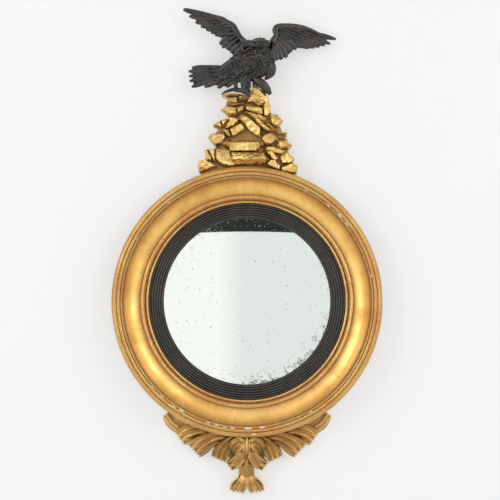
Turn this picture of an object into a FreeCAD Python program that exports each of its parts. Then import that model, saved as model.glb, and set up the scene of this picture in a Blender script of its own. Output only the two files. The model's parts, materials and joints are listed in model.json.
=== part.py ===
import FreeCAD, Part
import math
import os

# A convex wall mirror in a round gilded frame, with a carved eagle on rockwork above
# and a carved acanthus apron below.
#
# Millimetres. The origin is the centre of the round frame, on the wall plane.
# x runs to the right and z up as someone in front of the mirror sees them; y runs into
# the wall. A "depth" is the distance in front of the wall, so y = -depth.
# A "height" in the crest lists is measured up from the frame's top edge, a "drop" in the
# apron lists down from its bottom edge, and an eagle's "height" up from its perch.

# ---- fits --------------------------------------------------------------------------
CURVED_GAP = 0.3        # between curved faces that lie against each other
PIN_GAP = 0.1           # round a dowel, nail, screw or pin
JOINT_GAP = 0.2         # open hairline joint between two lengths of moulding
SLIP_GAP = 0.3          # between the slip's face and the gilt moulding
PLANK_GAP = 0.4         # between two backboard planks
BOARD_GAP = 0.5         # round the backboard in its rebate
BLOCK_GAP = 0.2         # between a glazing block and the backboard
DOWEL_END_GAP = 1.0     # glue space beyond each end of a dowel
CUT_PAST = 1.0          # how far a cut runs out past the wall plane

# ---- ebonised slip, from its sight edge outwards -----------------------------------
SIGHT_RADIUS = 172.1
REED_COUNT = 6
REED_WIDTH = 4.87
REED_SWELL = 1.6        # how far a reed stands above its chord
SLIP_SIGHT_DEPTH = 32.0
SLIP_FACE_DEPTH = 39.5
SLIP_FLANGE = 4.0       # flange held under the gilt moulding
SLIP_FLANGE_THICK = 5.7
SLIP_TONGUE_DROP = 7.7  # how far the slip's tongue reaches back into the carcase
SLIP_TONGUE_WIDTH = 6.7
SLIP_JOINT_ANGLES = (5.0, 101.0, 259.0)

# ---- gilt moulding, from the slip outwards -----------------------------------------
INNER_BEAD_WIDTH = 4.6
GROOVE_WIDTH = 2.0
FILLET_WIDTH = 2.6
SECOND_BEAD_WIDTH = 6.3
COVE_SEAM_WIDTH = 0.9
COVE_WIDTH = 32.3
QUIRK_WIDTH = 2.2
BEAD_A_WIDTH = 4.7
BEAD_B_WIDTH = 6.7
BEAD_C_WIDTH = 6.6
SHOULDER_WIDTH = 5.2

BEAD_ROUND = 0.46       # rise of every bead against its width
INNER_BEAD_TOP = 44.0
GROOVE_DEPTH = 40.0
FILLET_DEPTH = 41.5
SECOND_BEAD_TOP = 46.5
COVE_LOW = 41.0
COVE_HOLLOW = 6.3       # how far the cove sinks below its chord
COVE_HIGH = 68.0
QUIRK_DEPTH = 66.8
BEAD_A_TOP = 70.5
BEAD_B_TOP = 74.0
BEAD_C_TOP = 72.0
SHOULDER_TOP = 65.5
SHOULDER_TURN = 56.0
SHOULDER_UNDER = 40.0
SHOULDER_RETURN = 3.5   # how far the moulding's edge steps in at its back
SEGMENT_JOINT_ANGLES = (14.0, 99.5, 150.0, 199.5, 264.0, 321.0)

# ---- pine carcase and backboard ----------------------------------------------------
CARCASE_STEP = 5.5      # how far the carcase is set in from the moulding's edge
CARCASE_THICK = 32.0
BACK_CHAMFER = 4.0
LEDGE_DEPTH = 14.0
BOARD_LAP = 13.5        # how far the backboard laps onto the carcase
BOARD_THICK = 6.0
PLANK_SEAM = 66.0       # distance of each plank seam from the middle
NAIL_COUNT = 12
NAIL_HEAD_RADIUS = 2.0
NAIL_HEAD_THICK = 0.8
NAIL_RADIUS = 0.9
NAIL_LENGTH = 13.0

# ---- convex glass ------------------------------------------------------------------
GLASS_COVER = 5.9       # how far the slip covers the edge of the glass
GLASS_THICK = 3.0
GLASS_RISE = 16.0
GLASS_EDGE_DEPTH = 27.3
REBATE_GAP = 1.0        # round the glass in its rebate
AMALGAM_INSET = 4.0
AMALGAM_THICK = 0.4
BLOCK_COUNT = 8
BLOCK_LENGTH = 40.0
BLOCK_REACH = 14.0      # how far a glazing block reaches in from the carcase

# ---- screws ------------------------------------------------------------------------
MOULDING_SCREW_INSET = 12.0     # in from the edge of the ledge that they are driven through
MOULDING_SCREW_LENGTH = 25.0
MOULDING_SCREW_OFFSET = 12.0    # degrees to each side of a segment's middle
WOOD_SCREW_RADIUS = 2.0
WOOD_SCREW_HEAD = 4.0
STRAP_SCREW_LENGTH = 16.0
HANGER_SCREW_RADIUS = 1.6
HANGER_SCREW_HEAD = 3.0
HANGER_SCREW_LENGTH = 14.0

# ---- ring hanger on the back -------------------------------------------------------
HANGER_PLATE_GAP = 1.0  # between the backboard's rebate and the plate above it
HANGER_TOP_GAP = 13.0   # from the plate's top to the edge of the ledge
PLATE_WIDTH = 26.0
PLATE_THICK = 2.0
PLATE_ABOVE = 3.0
PLATE_BELOW = 21.0
KNUCKLE_RADIUS = 3.2
KNUCKLE_LENGTH = 8.0
KNUCKLE_STAND = 2.2     # from the plate's face to the hinge axis
RING_BAR_RADIUS = 1.5
RING_BAR_GAP = 0.1
RING_SIDE_GAP = 1.0
RING_ARM_WIDTH = 3.0
RING_BORE = 9.0
RING_WALL = 4.0
RING_DROP = 18.0        # from the hinge axis to the ring's centre
POCKET_SIDE_GAP = 3.0
PLATE_SCREWS = ((-8.0, 10.0), (8.0, 10.0), (0.0, 17.5))     # across, below the axis

# ---- iron straps -------------------------------------------------------------------
STRAP_WIDTH = 16.0
STRAP_THICK = 2.5
CREST_STRAP_OFFSET = 49.0
STRAP_ON_FRAME = 36.0
STRAP_ON_CARVING = 54.0
STRAP_SCREWS_ON_FRAME = (12.0, 27.0)
STRAP_SCREWS_ON_CARVING = (12.0, 42.0)

# ---- dowels ------------------------------------------------------------------------
DOWEL_RADIUS = 5.0
DOWEL_DEPTH = 20.0
CREST_DOWEL_OFFSET = 30.0
DOWEL_IN_FRAME = 32.0
DOWEL_IN_CARVING = 30.0
BLOCK_DOWEL_RADIUS = 4.0
BLOCK_DOWEL_HALF = 15.0
BLOCK_DOWEL_DEPTH = 22.0
APRON_DOWEL_ANGLES = (248.0, 262.0, 278.0, 292.0)
APRON_DOWEL_IN_CARVING = 18.0
WING_DOWEL_RADIUS = 3.0
WING_DOWEL_HALF = 16.0

# ---- carved rockwork: corners (x, height) and front depth of each stone -------------
STONE_SHOULDER = 9.0    # how far each stone bevels in before its front face
STONE_SHRINK = 0.70     # size of a stone's front face against its outline
CORE_FRONT = 36.0
BLOCK_JOINTS = (42.0, 109.0)
STONES = (
    (60, ((-101, 11), (-91, 16), (-61, 9), (-58, -4), (-75, -16), (-99, -21))),
    (56, ((-87, 35), (-65, 40), (-60, 27), (-65, 7), (-80, 5), (-86, 15))),
    (66, ((-61, 33), (-34, 34), (-30, 13), (-21, -3), (-40, -8), (-60, -10), (-63, 10))),
    (72, ((-30, 30), (32, 30), (37, 13), (33, -4), (-21, -4), (-31, 13))),
    (66, ((-34, 53), (17, 52), (30, 50), (30, 41), (14, 30), (-31, 31))),
    (68, ((34, 28), (44, 37), (65, 30), (70, 13), (67, -12), (47, -8), (34, 12))),
    (58, ((58, 24), (71, 29), (95, 19), (96, 13), (74, 4), (61, 11))),
    (62, ((69, 0), (77, 8), (96, 12), (102, 1), (101, -20), (82, -18), (68, -13))),
    (58, ((-79, 60), (-66, 69), (-51, 69), (-45, 60), (-51, 49), (-65, 43))),
    (48, ((-52, 46), (-32, 57), (-30, 33), (-65, 30))),
    (60, ((-34, 75), (-10, 90), (-1, 79), (-28, 60))),
    (62, ((-16, 102), (-8, 109), (14, 98), (33, 82), (26, 61), (0, 79))),
    (54, ((17, 100), (30, 94), (50, 79), (45, 71), (30, 78))),
    (62, ((28, 58), (37, 69), (55, 69), (63, 60), (54, 48), (39, 46))),
    (46, ((56, 71), (65, 77), (82, 71), (78, 63), (61, 65))),
    (54, ((59, 48), (66, 56), (78, 60), (91, 45), (77, 36), (66, 39))),
    (50, ((-69, 86), (-61, 94), (-39, 104), (-27, 100), (-36, 86), (-51, 72), (-64, 76))),
    (52, ((-53, 118), (-45, 126), (-4, 127), (-5, 117), (-21, 104), (-40, 107))),
    (46, ((-41, 140), (-30, 143), (-2, 139), (-2, 127), (-43, 126))),
    (50, ((0, 138), (6, 153), (10, 168), (17, 175), (25, 170), (39, 146), (33, 137))),
    (46, ((-2, 138), (39, 140), (48, 128), (48, 117), (39, 105), (29, 107), (-2, 115))),
    (56, ((-2, 125), (30, 123), (29, 106), (11, 108), (-2, 116))),
    (50, ((40, 102), (48, 111), (62, 108), (73, 96), (61, 83), (45, 89))),
    (46, ((-5, 113), (30, 107), (43, 100), (30, 92), (14, 97), (-5, 107))),
)
PERCH_STONE = (50, ((-53, 146), (-42, 152), (-17, 152), (-2, 142), (-24, 140), (-46, 143)))
CORE_OUTLINE = (
    (-38, 141), (-2, 141), (8, 150), (14, 168), (20, 168), (34, 142), (45, 125), (46, 108),
    (60, 96), (68, 82), (74, 62), (80, 40), (90, 14), (95, -25), (-95, -25), (-84, 20),
    (-62, 40), (-70, 60), (-58, 78), (-52, 88), (-38, 102), (-46, 116),
)

# ---- carved eagle: heights above the perch -----------------------------------------
EAGLE_BODY = (
    (-62, 40, 36, 8), (-45, 40, 39, 18), (-20, 41, 47, 28),
    (8, 42, 56, 34), (32, 42, 65, 30), (50, 42, 72, 13),
)
EAGLE_THIGH = ((30, 46, 62, 12), (43, 48, 52, 16), (46, 47, 40, 12), (40, 46, 30, 5))
EAGLE_NECK = ((20, 42, 66, 25), (25, 43, 82, 22), (27, 45, 93, 15.5))
EAGLE_SKULL = (26, 46, 92, 17)
EAGLE_BEAK = ((16, 56, 91, 10), (4, 63, 87, 6), (-4, 65, 79, 2))
TAIL_OUTLINE = (
    (-58, 58), (-66, 54), (-110, 52.5), (-120.6, 44.5), (-119, 35.5), (-115, 25.5),
    (-113.6, 11.5), (-87, 15.5), (-82, 10.5), (-61, 14.5), (-56, 8), (-40, 8), (-28, 20),
    (-26, 50),
)
TAIL_BACK = 32.0
TAIL_THICK = 15.0
LEFT_WING_OUTLINE = (
    (-132.3, 175.5), (-110, 172.5), (-77, 161.5), (-45, 152.5), (-26, 144), (-16.5, 134.5),
    (-15.4, 128.5), (-19, 121.5), (-7, 105.5), (10, 88), (2, 66), (-33, 70), (-35, 89),
    (-50, 91), (-56, 96), (-53, 116), (-68, 121.5), (-87, 133.5), (-103, 145.5), (-119, 156.5),
)
RIGHT_WING_OUTLINE = (
    (183.4, 112.5), (170.5, 118.5), (154, 123), (135.5, 131), (112, 139.5), (93, 142.5),
    (77, 143.5), (60.6, 141), (52.4, 134.5), (51.3, 127.5), (57, 117), (51, 107.5),
    (34, 86), (38, 64), (49, 61), (58.8, 60), (60.6, 68), (77, 67), (84, 75), (84, 84.5),
    (96, 85.5), (107, 97.5), (128, 93), (154, 96.5), (173, 106.5),
)
LEFT_WING_EDGE = (
    (-118, 169, 3), (-77, 155.5, 5), (-45, 144, 7), (-27, 134.5, 7.5), (-22, 120, 6), (-6, 98, 7),
)
RIGHT_WING_EDGE = (
    (165, 115, 3), (135, 125.5, 4.5), (93, 135.5, 6), (67, 133.5, 7), (61, 120, 6), (48, 98, 7),
)
WING_ROOT = 20.0        # distance from the middle at which a wing starts to lean
WING_ROOT_BACK = 33.0
WING_LEAN = 0.10        # how far a wing falls back for each unit of its reach
WING_THICK = 9.0
LEFT_LEG = (
    ((-22, 42, 34, 10), (-23, 43, 20, 5), (-23, 44, 4, 4.5)),
    ((-4, 46, 36, 16), (-3, 49, 20, 10), (-2, 50, 8, 7.5), (-1, 51, -3, 6)),
    ((-18, 46, 5, 4.5), (-36, 47, 2, 3.5), (-51, 46, -5, 1.5)),
    ((-24, 44, 5, 4.5), (-14, 50, 2, 4.5), (-5, 53, 0, 5)),
)
RIGHT_LEG = ((12, 45, 31, 9), (26, 47, 20, 10), (37, 47, 10, 9.5), (44, 46, 1, 6.5), (48, 45, -5, 3))
PIN_ACROSS = 14.0
PIN_DEPTH = 30.0
PIN_RADIUS = 3.0
PIN_IN_ROCK = 20.0
PIN_IN_EAGLE = 58.0
WING_DOWELS = ((-8, 37.5, 83), (54, 33.6, 74))  # across, depth, height of each middle

# ---- carved apron: corners (x, drop) and front depth of each lobe -------------------
LEAF_SHOULDER = 6.0
LEAF_SHRINK = 0.78
CENTRE_LEAF = (
    (46, ((-42, 57), (-41, 64), (-35, 71), (-18, 69), (14, 68), (27, 69), (31, 64), (37, 60),
          (34, 50), (16, 24), (6, -6), (-8, -6), (-20, 26))),
    (38, ((-19, 62), (-21, 82), (-16, 88), (16, 84), (14, 62))),
    (34, ((-16, 84), (-25, 98), (-30, 118), (-11, 120), (3, 120), (11, 112), (17, 118),
          (27, 118), (35, 115), (37, 110), (33, 98), (24, 87), (15, 81))),
)
LEFT_SPRAY = (
    (27, ((-176, -51), (-172, -35), (-160, -17), (-150, -9), (-138, -9), (-120, -34),
          (-140, -46), (-165, -66))),
    (33, ((-148, -10), (-146, 2), (-143, 11), (-129, 20), (-112, 20), (-90, -2), (-86, -25),
          (-120, -38))),
    (38, ((-113, 19), (-111, 24), (-96, 40), (-86, 36), (-70, 35), (-46, 10), (-40, -8),
          (-88, -24))),
    (42, ((-73, 32), (-67, 48), (-46, 52), (-38, 46), (-24, 20), (-10, 0), (-40, -10))),
)
RIGHT_SPRAY = (
    (27, ((150, -9), (153, -9), (167, -18), (175, -28), (175, -47), (165, -66), (140, -46),
          (120, -34), (138, -9))),
    (33, ((112, 20), (117, 19), (142, 15), (148, -2), (147, -10), (120, -38), (86, -25),
          (90, -2))),
    (38, ((70, 35), (81, 40), (99, 41), (112, 34), (113, 19), (88, -24), (40, -8), (46, 10))),
    (42, ((36, 48), (42, 54), (61, 54), (72, 34), (40, -10), (10, 0), (24, 20))),
)

# ---- radii and depths worked out from the values above ------------------------------
SLIP_FACE = SIGHT_RADIUS + REED_COUNT * REED_WIDTH
SLIP_OUTER = SLIP_FACE + SLIP_FLANGE
MOULDING_INNER = SLIP_FACE + SLIP_GAP
MOULDING_REBATE = SLIP_OUTER + SLIP_GAP
GROOVE_START = MOULDING_INNER + INNER_BEAD_WIDTH
FILLET_START = GROOVE_START + GROOVE_WIDTH
SECOND_BEAD_START = FILLET_START + FILLET_WIDTH
COVE_SEAM_START = SECOND_BEAD_START + SECOND_BEAD_WIDTH
COVE_START = COVE_SEAM_START + COVE_SEAM_WIDTH
COVE_END = COVE_START + COVE_WIDTH
BEAD_A_START = COVE_END + QUIRK_WIDTH
BEAD_B_START = BEAD_A_START + BEAD_A_WIDTH
BEAD_C_START = BEAD_B_START + BEAD_B_WIDTH
SHOULDER_START = BEAD_C_START + BEAD_C_WIDTH
FRAME_RADIUS = SHOULDER_START + SHOULDER_WIDTH
CARCASE_RADIUS = FRAME_RADIUS - CARCASE_STEP
GLASS_RADIUS = SIGHT_RADIUS + GLASS_COVER
GLASS_REBATE = GLASS_RADIUS + REBATE_GAP
GLASS_CURVE = (GLASS_RADIUS ** 2 + GLASS_RISE ** 2) / (2 * GLASS_RISE)
SLIP_TONGUE_BACK = CARCASE_THICK - SLIP_TONGUE_DROP
SLIP_TONGUE_RADIUS = GLASS_REBATE + SLIP_TONGUE_WIDTH
CARCASE_OPENING = SLIP_TONGUE_RADIUS + CURVED_GAP
BOARD_RADIUS = CARCASE_OPENING + BOARD_LAP
BOARD_REBATE = BOARD_RADIUS + BOARD_GAP
BOARD_FRONT = LEDGE_DEPTH + BOARD_THICK
HANGER_AXIS_HEIGHT = BOARD_REBATE + HANGER_PLATE_GAP + PLATE_BELOW
LEDGE_RADIUS = HANGER_AXIS_HEIGHT + PLATE_ABOVE + HANGER_TOP_GAP
MOULDING_SCREW_CIRCLE = LEDGE_RADIUS - MOULDING_SCREW_INSET
HINGE_DEPTH = LEDGE_DEPTH - PLATE_THICK - KNUCKLE_STAND
RING_OUTER = RING_BORE + RING_WALL
PERCH_HEIGHT = FRAME_RADIUS + max(height for _, height in PERCH_STONE[1])

ORIGIN = FreeCAD.Vector(0, 0, 0)
OUTWARD = FreeCAD.Vector(0, -1, 0)
ACROSS = FreeCAD.Vector(1, 0, 0)
UPWARD = FreeCAD.Vector(0, 0, 1)
LARGE = 2000.0


# ---- drawing helpers ---------------------------------------------------------------
def at(x, depth, z):
    """Point x to the right, depth in front of the wall, z up."""
    return FreeCAD.Vector(x, -depth, z)


def closed_wire(steps, place):
    """Closed outline: a pair is a straight run to a point, a four an arc by way of its first pair."""
    first = place(*steps[0])
    here = first
    edges = []
    for step in steps[1:]:
        end = place(*step[-2:])
        if len(step) == 4:
            edges.append(Part.Arc(here, place(*step[:2]), end).toShape())
        else:
            edges.append(Part.makeLine(here, end))
        here = end
    edges.append(Part.makeLine(here, first))
    return Part.Wire(edges)


def turned(steps, start=0.0, sweep=360.0):
    """Section (radius, depth) swept round the frame's axis, anticlockwise seen from the front."""
    face = Part.Face(closed_wire(steps, lambda radius, depth: at(radius, depth, 0)))
    face.rotate(ORIGIN, OUTWARD, start)
    return face.revolve(ORIGIN, OUTWARD, sweep)


def disc(radius, back, front):
    """Round plug about the frame's axis."""
    return Part.makeCylinder(radius, front - back, at(0, back, 0), OUTWARD)


def block(left, right, back, front, low, high):
    """Box between two values along each axis."""
    return Part.makeBox(right - left, front - back, high - low, at(left, front, low))


def plate(corners, back, front):
    """Flat plate with an outline of (x, z) corners."""
    points = [at(x, back, z) for x, z in corners]
    face = Part.Face(Part.makePolygon(points + points[:1]))
    return face.extrude(OUTWARD * (front - back))


def faceted(corners, back, front, shoulder, shrink):
    """Carved lump: upright sides, then a bevel in to a smaller front face."""
    middle_x = sum(x for x, _ in corners) / len(corners)
    middle_z = sum(z for _, z in corners) / len(corners)
    rings = []
    for depth, scale in ((back, 1.0), (front - shoulder, 1.0), (front, shrink)):
        rings.append([at(middle_x + (x - middle_x) * scale, depth,
                         middle_z + (z - middle_z) * scale) for x, z in corners])
    outlines = [rings[0], rings[-1]]
    for lower, upper in zip(rings, rings[1:]):
        outlines += [[lower[index - 1], lower[index], upper[index], upper[index - 1]]
                     for index in range(len(corners))]
    faces = [Part.Face(Part.makePolygon(outline + outline[:1])) for outline in outlines]
    return Part.makeSolid(Part.makeShell(faces))


def swelling(stations, rise=0.0, straight=False):
    """Round form through its stations (x, depth, height, radius), curved or in straight runs."""
    places = [at(x, depth, height + rise) for x, depth, height, _ in stations]
    rings = []
    for index, place in enumerate(places):
        before = places[max(index - 1, 0)]
        after = places[min(index + 1, len(places) - 1)]
        along = (after - before).normalize()
        turn = FreeCAD.Rotation(OUTWARD, along.cross(OUTWARD), along, "ZXY")
        ring = Part.Wire(Part.makeCircle(stations[index][3]))
        ring.Placement = FreeCAD.Placement(place, turn)
        rings.append(ring)
    return Part.makeLoft(rings, True, straight)


def joined(pieces):
    """One solid from pieces that run into each other."""
    return pieces[0].multiFuse(list(pieces[1:])).removeSplitter()


def largest(shape):
    """The main solid that a cut leaves."""
    return max(shape.Solids, key=lambda solid: solid.Volume)


def on_circle(radius, angle):
    """x and z of a point on a circle round the frame's axis."""
    turn = math.radians(angle)
    return radius * math.cos(turn), radius * math.sin(turn)


def countersunk(x, z, surface, length, radius, head, spare=0.0):
    """Countersunk screw driven away from the wall; spare widens it into its own hole."""
    start = at(x, surface, z)
    cone = Part.makeCone(head + spare, radius + spare, head - radius, start, OUTWARD)
    shank = Part.makeCylinder(radius + spare, length + spare, start, OUTWARD)
    return cone.fuse(shank).removeSplitter()


def rod(middle, direction, radius, half, spare=0.0, end_spare=0.0):
    """Dowel or pin about its middle; the spare sizes widen and lengthen it into its hole."""
    reach = half + end_spare
    return Part.makeCylinder(radius + spare, 2 * reach, middle - direction * reach, direction)


# ---- where the fixings are ---------------------------------------------------------
def nail_places():
    """Centres of the backboard nails, midway across the backboard's rebate."""
    circle = (CARCASE_OPENING + BOARD_RADIUS) / 2
    step = 360.0 / NAIL_COUNT
    return [on_circle(circle, (index + 0.5) * step) for index in range(NAIL_COUNT)]


def segment_spans(angles):
    """Start angle and sweep of each length between neighbouring joints."""
    following = list(angles[1:]) + [angles[0] + 360.0]
    return [(start, end - start) for start, end in zip(angles, following)]


def moulding_screw_places():
    """Two screws behind each length of moulding."""
    places = []
    for start, sweep in segment_spans(SEGMENT_JOINT_ANGLES):
        middle = start + sweep / 2
        for side in (-1, 1):
            places.append(on_circle(MOULDING_SCREW_CIRCLE, middle + side * MOULDING_SCREW_OFFSET))
    return places


def hanger_screw_places():
    """Screws that hold the hanger's plate, below its hinge axis."""
    return [(x, HANGER_AXIS_HEIGHT - below) for x, below in PLATE_SCREWS]


def strap_screw_heights():
    """Distance from the frame's edge of each strap screw, outwards."""
    return [-inward for inward in STRAP_SCREWS_ON_FRAME] + list(STRAP_SCREWS_ON_CARVING)


def crest_screw_places():
    """Screws through the two crest straps."""
    return [(side * CREST_STRAP_OFFSET, FRAME_RADIUS + height)
            for side in (-1, 1) for height in strap_screw_heights()]


def apron_screw_places():
    """Screws through the apron's strap."""
    return [(0.0, -FRAME_RADIUS - height) for height in strap_screw_heights()]


def moulding_screws(spare=0.0):
    return [countersunk(x, z, LEDGE_DEPTH, MOULDING_SCREW_LENGTH, WOOD_SCREW_RADIUS,
                        WOOD_SCREW_HEAD, spare) for x, z in moulding_screw_places()]


def hanger_screws(spare=0.0):
    return [countersunk(x, z, LEDGE_DEPTH - PLATE_THICK, HANGER_SCREW_LENGTH,
                        HANGER_SCREW_RADIUS, HANGER_SCREW_HEAD, spare)
            for x, z in hanger_screw_places()]


def strap_screws(places, spare=0.0):
    return [countersunk(x, z, 0.0, STRAP_SCREW_LENGTH, WOOD_SCREW_RADIUS, WOOD_SCREW_HEAD, spare)
            for x, z in places]


def crest_dowels(spare=0.0, end_spare=0.0):
    """Upright dowels between the carcase and the rockwork."""
    half = (DOWEL_IN_FRAME + DOWEL_IN_CARVING) / 2
    height = FRAME_RADIUS - DOWEL_IN_FRAME + half
    return [rod(at(side * CREST_DOWEL_OFFSET, DOWEL_DEPTH, height), UPWARD, DOWEL_RADIUS, half,
                spare, end_spare) for side in (-1, 1)]


def apron_dowels(spare=0.0, end_spare=0.0):
    """Dowels that run outwards from the carcase into the apron."""
    inner = FRAME_RADIUS - DOWEL_IN_FRAME
    outer = FRAME_RADIUS + APRON_DOWEL_IN_CARVING
    dowels = []
    for angle in APRON_DOWEL_ANGLES:
        across, up = on_circle(1.0, angle)
        middle = at(across * (inner + outer) / 2, DOWEL_DEPTH, up * (inner + outer) / 2)
        direction = FreeCAD.Vector(across, 0, up)
        dowels.append(rod(middle, direction, DOWEL_RADIUS, (outer - inner) / 2, spare, end_spare))
    return dowels


def rockwork_dowels(spare=0.0, end_spare=0.0):
    """Dowels between the three blocks that the rockwork is carved from."""
    low, high = (FRAME_RADIUS + joint for joint in BLOCK_JOINTS)
    half = CREST_DOWEL_OFFSET / 2
    places = ((-half, low), (half, low), (0.0, high))
    return [rod(at(x, BLOCK_DOWEL_DEPTH, z), UPWARD, BLOCK_DOWEL_RADIUS, BLOCK_DOWEL_HALF,
                spare, end_spare) for x, z in places]


def wing_dowels(spare=0.0, end_spare=0.0):
    """Dowels between the eagle's body and its wings."""
    return [rod(at(x, depth, PERCH_HEIGHT + height), ACROSS, WING_DOWEL_RADIUS, WING_DOWEL_HALF,
                spare, end_spare) for x, depth, height in WING_DOWELS]


def mounting_pin(spare=0.0, end_spare=0.0):
    """Iron pin from the rockwork up into the eagle."""
    half = (PIN_IN_ROCK + PIN_IN_EAGLE) / 2
    height = PERCH_HEIGHT - PIN_IN_ROCK + half
    return rod(at(PIN_ACROSS, PIN_DEPTH, height), UPWARD, PIN_RADIUS, half, spare, end_spare)


# ---- frame -------------------------------------------------------------------------
def strap(x, low, high):
    """Flat iron strap, its outer face on the wall plane."""
    return block(x - STRAP_WIDTH / 2, x + STRAP_WIDTH / 2, 0.0, STRAP_THICK, low, high)


def crest_strap(side):
    x = side * CREST_STRAP_OFFSET
    return strap(x, FRAME_RADIUS - STRAP_ON_FRAME, FRAME_RADIUS + STRAP_ON_CARVING)


def apron_strap():
    return strap(0.0, -FRAME_RADIUS - STRAP_ON_CARVING, -FRAME_RADIUS + STRAP_ON_FRAME)


def ring_pocket():
    """Space in the back of the carcase for the ring when it stands up."""
    half = RING_OUTER + POCKET_SIDE_GAP
    top = HANGER_AXIS_HEIGHT + RING_DROP + half
    return block(-half, half, -CUT_PAST, LEDGE_DEPTH, HANGER_AXIS_HEIGHT, top)


def carcase():
    """Turned pine ring with a ledge, a rebate for the backboard and its fixing holes."""
    ring = turned((
        (CARCASE_RADIUS - BACK_CHAMFER, 0.0), (CARCASE_RADIUS, BACK_CHAMFER),
        (CARCASE_RADIUS, CARCASE_THICK), (CARCASE_OPENING, CARCASE_THICK),
        (CARCASE_OPENING, BOARD_FRONT), (BOARD_REBATE, BOARD_FRONT),
        (BOARD_REBATE, LEDGE_DEPTH), (LEDGE_RADIUS, LEDGE_DEPTH), (LEDGE_RADIUS, 0.0)))
    cutters = [ring_pocket(), crest_strap(-1), crest_strap(1), apron_strap()]
    cutters += moulding_screws(PIN_GAP) + hanger_screws(PIN_GAP)
    cutters += strap_screws(crest_screw_places() + apron_screw_places(), PIN_GAP)
    cutters += crest_dowels(PIN_GAP, DOWEL_END_GAP) + apron_dowels(PIN_GAP, DOWEL_END_GAP)
    cutters += nails(PIN_GAP)
    return largest(ring.cut(cutters))


def bead(start, width, top):
    """Steps of one rounded bead."""
    base = top - BEAD_ROUND * width
    return [(start, base), (start + width / 2, top, start + width, base)]


def moulding_section():
    """Gilt moulding: two inner beads, a wide hollow and three beads at the rim."""
    cove_chord_depth = (COVE_LOW + COVE_HIGH) / 2
    cove_middle = (COVE_START + COVE_END) / 2
    cove_slope = math.atan2(COVE_HIGH - COVE_LOW, COVE_WIDTH)
    steps = [(MOULDING_REBATE, CARCASE_THICK),
             (MOULDING_REBATE, CARCASE_THICK + SLIP_FLANGE_THICK + CURVED_GAP),
             (MOULDING_INNER, CARCASE_THICK + SLIP_FLANGE_THICK + CURVED_GAP)]
    steps += bead(MOULDING_INNER, INNER_BEAD_WIDTH, INNER_BEAD_TOP)
    steps += [(GROOVE_START, GROOVE_DEPTH), (FILLET_START, GROOVE_DEPTH),
              (FILLET_START, FILLET_DEPTH), (SECOND_BEAD_START, FILLET_DEPTH)]
    steps += bead(SECOND_BEAD_START, SECOND_BEAD_WIDTH, SECOND_BEAD_TOP)
    steps += [(COVE_SEAM_START, COVE_LOW), (COVE_START, COVE_LOW),
              (cove_middle + COVE_HOLLOW * math.sin(cove_slope),
               cove_chord_depth - COVE_HOLLOW * math.cos(cove_slope), COVE_END, COVE_HIGH),
              (COVE_END, QUIRK_DEPTH), (BEAD_A_START, QUIRK_DEPTH)]
    steps += bead(BEAD_A_START, BEAD_A_WIDTH, BEAD_A_TOP)
    steps += bead(BEAD_B_START, BEAD_B_WIDTH, BEAD_B_TOP)
    steps += bead(BEAD_C_START, BEAD_C_WIDTH, BEAD_C_TOP)
    steps += [(SHOULDER_START, SHOULDER_TOP), (FRAME_RADIUS, SHOULDER_TURN),
              (FRAME_RADIUS, SHOULDER_UNDER), (FRAME_RADIUS - SHOULDER_RETURN, CARCASE_THICK)]
    return steps


def slip_section():
    """Ebonised slip: six reeds that step down to the sight edge, and a rebate for the glass."""
    lip_back = glass_depth(SIGHT_RADIUS, 0.0) + CURVED_GAP
    step_down = (SLIP_FACE_DEPTH - SLIP_SIGHT_DEPTH) / REED_COUNT
    steps = [(SIGHT_RADIUS, lip_back), (GLASS_REBATE, lip_back),
             (GLASS_REBATE, SLIP_TONGUE_BACK), (SLIP_TONGUE_RADIUS, SLIP_TONGUE_BACK),
             (SLIP_TONGUE_RADIUS, CARCASE_THICK), (SLIP_OUTER, CARCASE_THICK),
             (SLIP_OUTER, CARCASE_THICK + SLIP_FLANGE_THICK),
             (SLIP_FACE, CARCASE_THICK + SLIP_FLANGE_THICK), (SLIP_FACE, SLIP_FACE_DEPTH)]
    for reed in range(REED_COUNT):
        outer = SLIP_FACE - reed * REED_WIDTH
        depth = SLIP_FACE_DEPTH - reed * step_down
        steps.append((outer - REED_WIDTH / 2, depth - step_down / 2 + REED_SWELL,
                      outer - REED_WIDTH, depth - step_down))
    return steps


def ring_lengths(steps, angles):
    """The lengths of a ring between its joints, each short of them by half the open joint."""
    trim = math.degrees(JOINT_GAP / 2 / SLIP_OUTER)
    return [turned(steps, start + trim, sweep - 2 * trim) for start, sweep in segment_spans(angles)]


def glass_depth(radius, inset):
    """Depth of the glass's front sphere at a radius, or of one inset behind it."""
    apex = GLASS_EDGE_DEPTH + GLASS_RISE
    return apex - GLASS_CURVE + math.sqrt((GLASS_CURVE - inset) ** 2 - radius ** 2)


def dome(radius, front_inset, back_inset):
    """Shallow spherical shell that follows the glass."""
    half = radius / 2
    return turned((
        (0.0, glass_depth(0.0, back_inset)),
        (half, glass_depth(half, back_inset), radius, glass_depth(radius, back_inset)),
        (radius, glass_depth(radius, front_inset)),
        (half, glass_depth(half, front_inset), 0.0, glass_depth(0.0, front_inset))))


def glazing_blocks():
    """Small pine blocks glued in behind the edge of the glass."""
    outer = SLIP_TONGUE_RADIUS - CURVED_GAP
    limit = disc(outer, BOARD_FRONT + BLOCK_GAP, SLIP_TONGUE_BACK)
    bar = block(outer - BLOCK_REACH, LARGE, BOARD_FRONT, SLIP_TONGUE_BACK, -BLOCK_LENGTH / 2,
                BLOCK_LENGTH / 2)
    pieces = []
    for index in range(BLOCK_COUNT):
        turn = bar.copy()
        turn.rotate(ORIGIN, OUTWARD, (index + 0.5) * 360.0 / BLOCK_COUNT)
        pieces.append(largest(turn.common(limit)))
    return pieces


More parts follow.
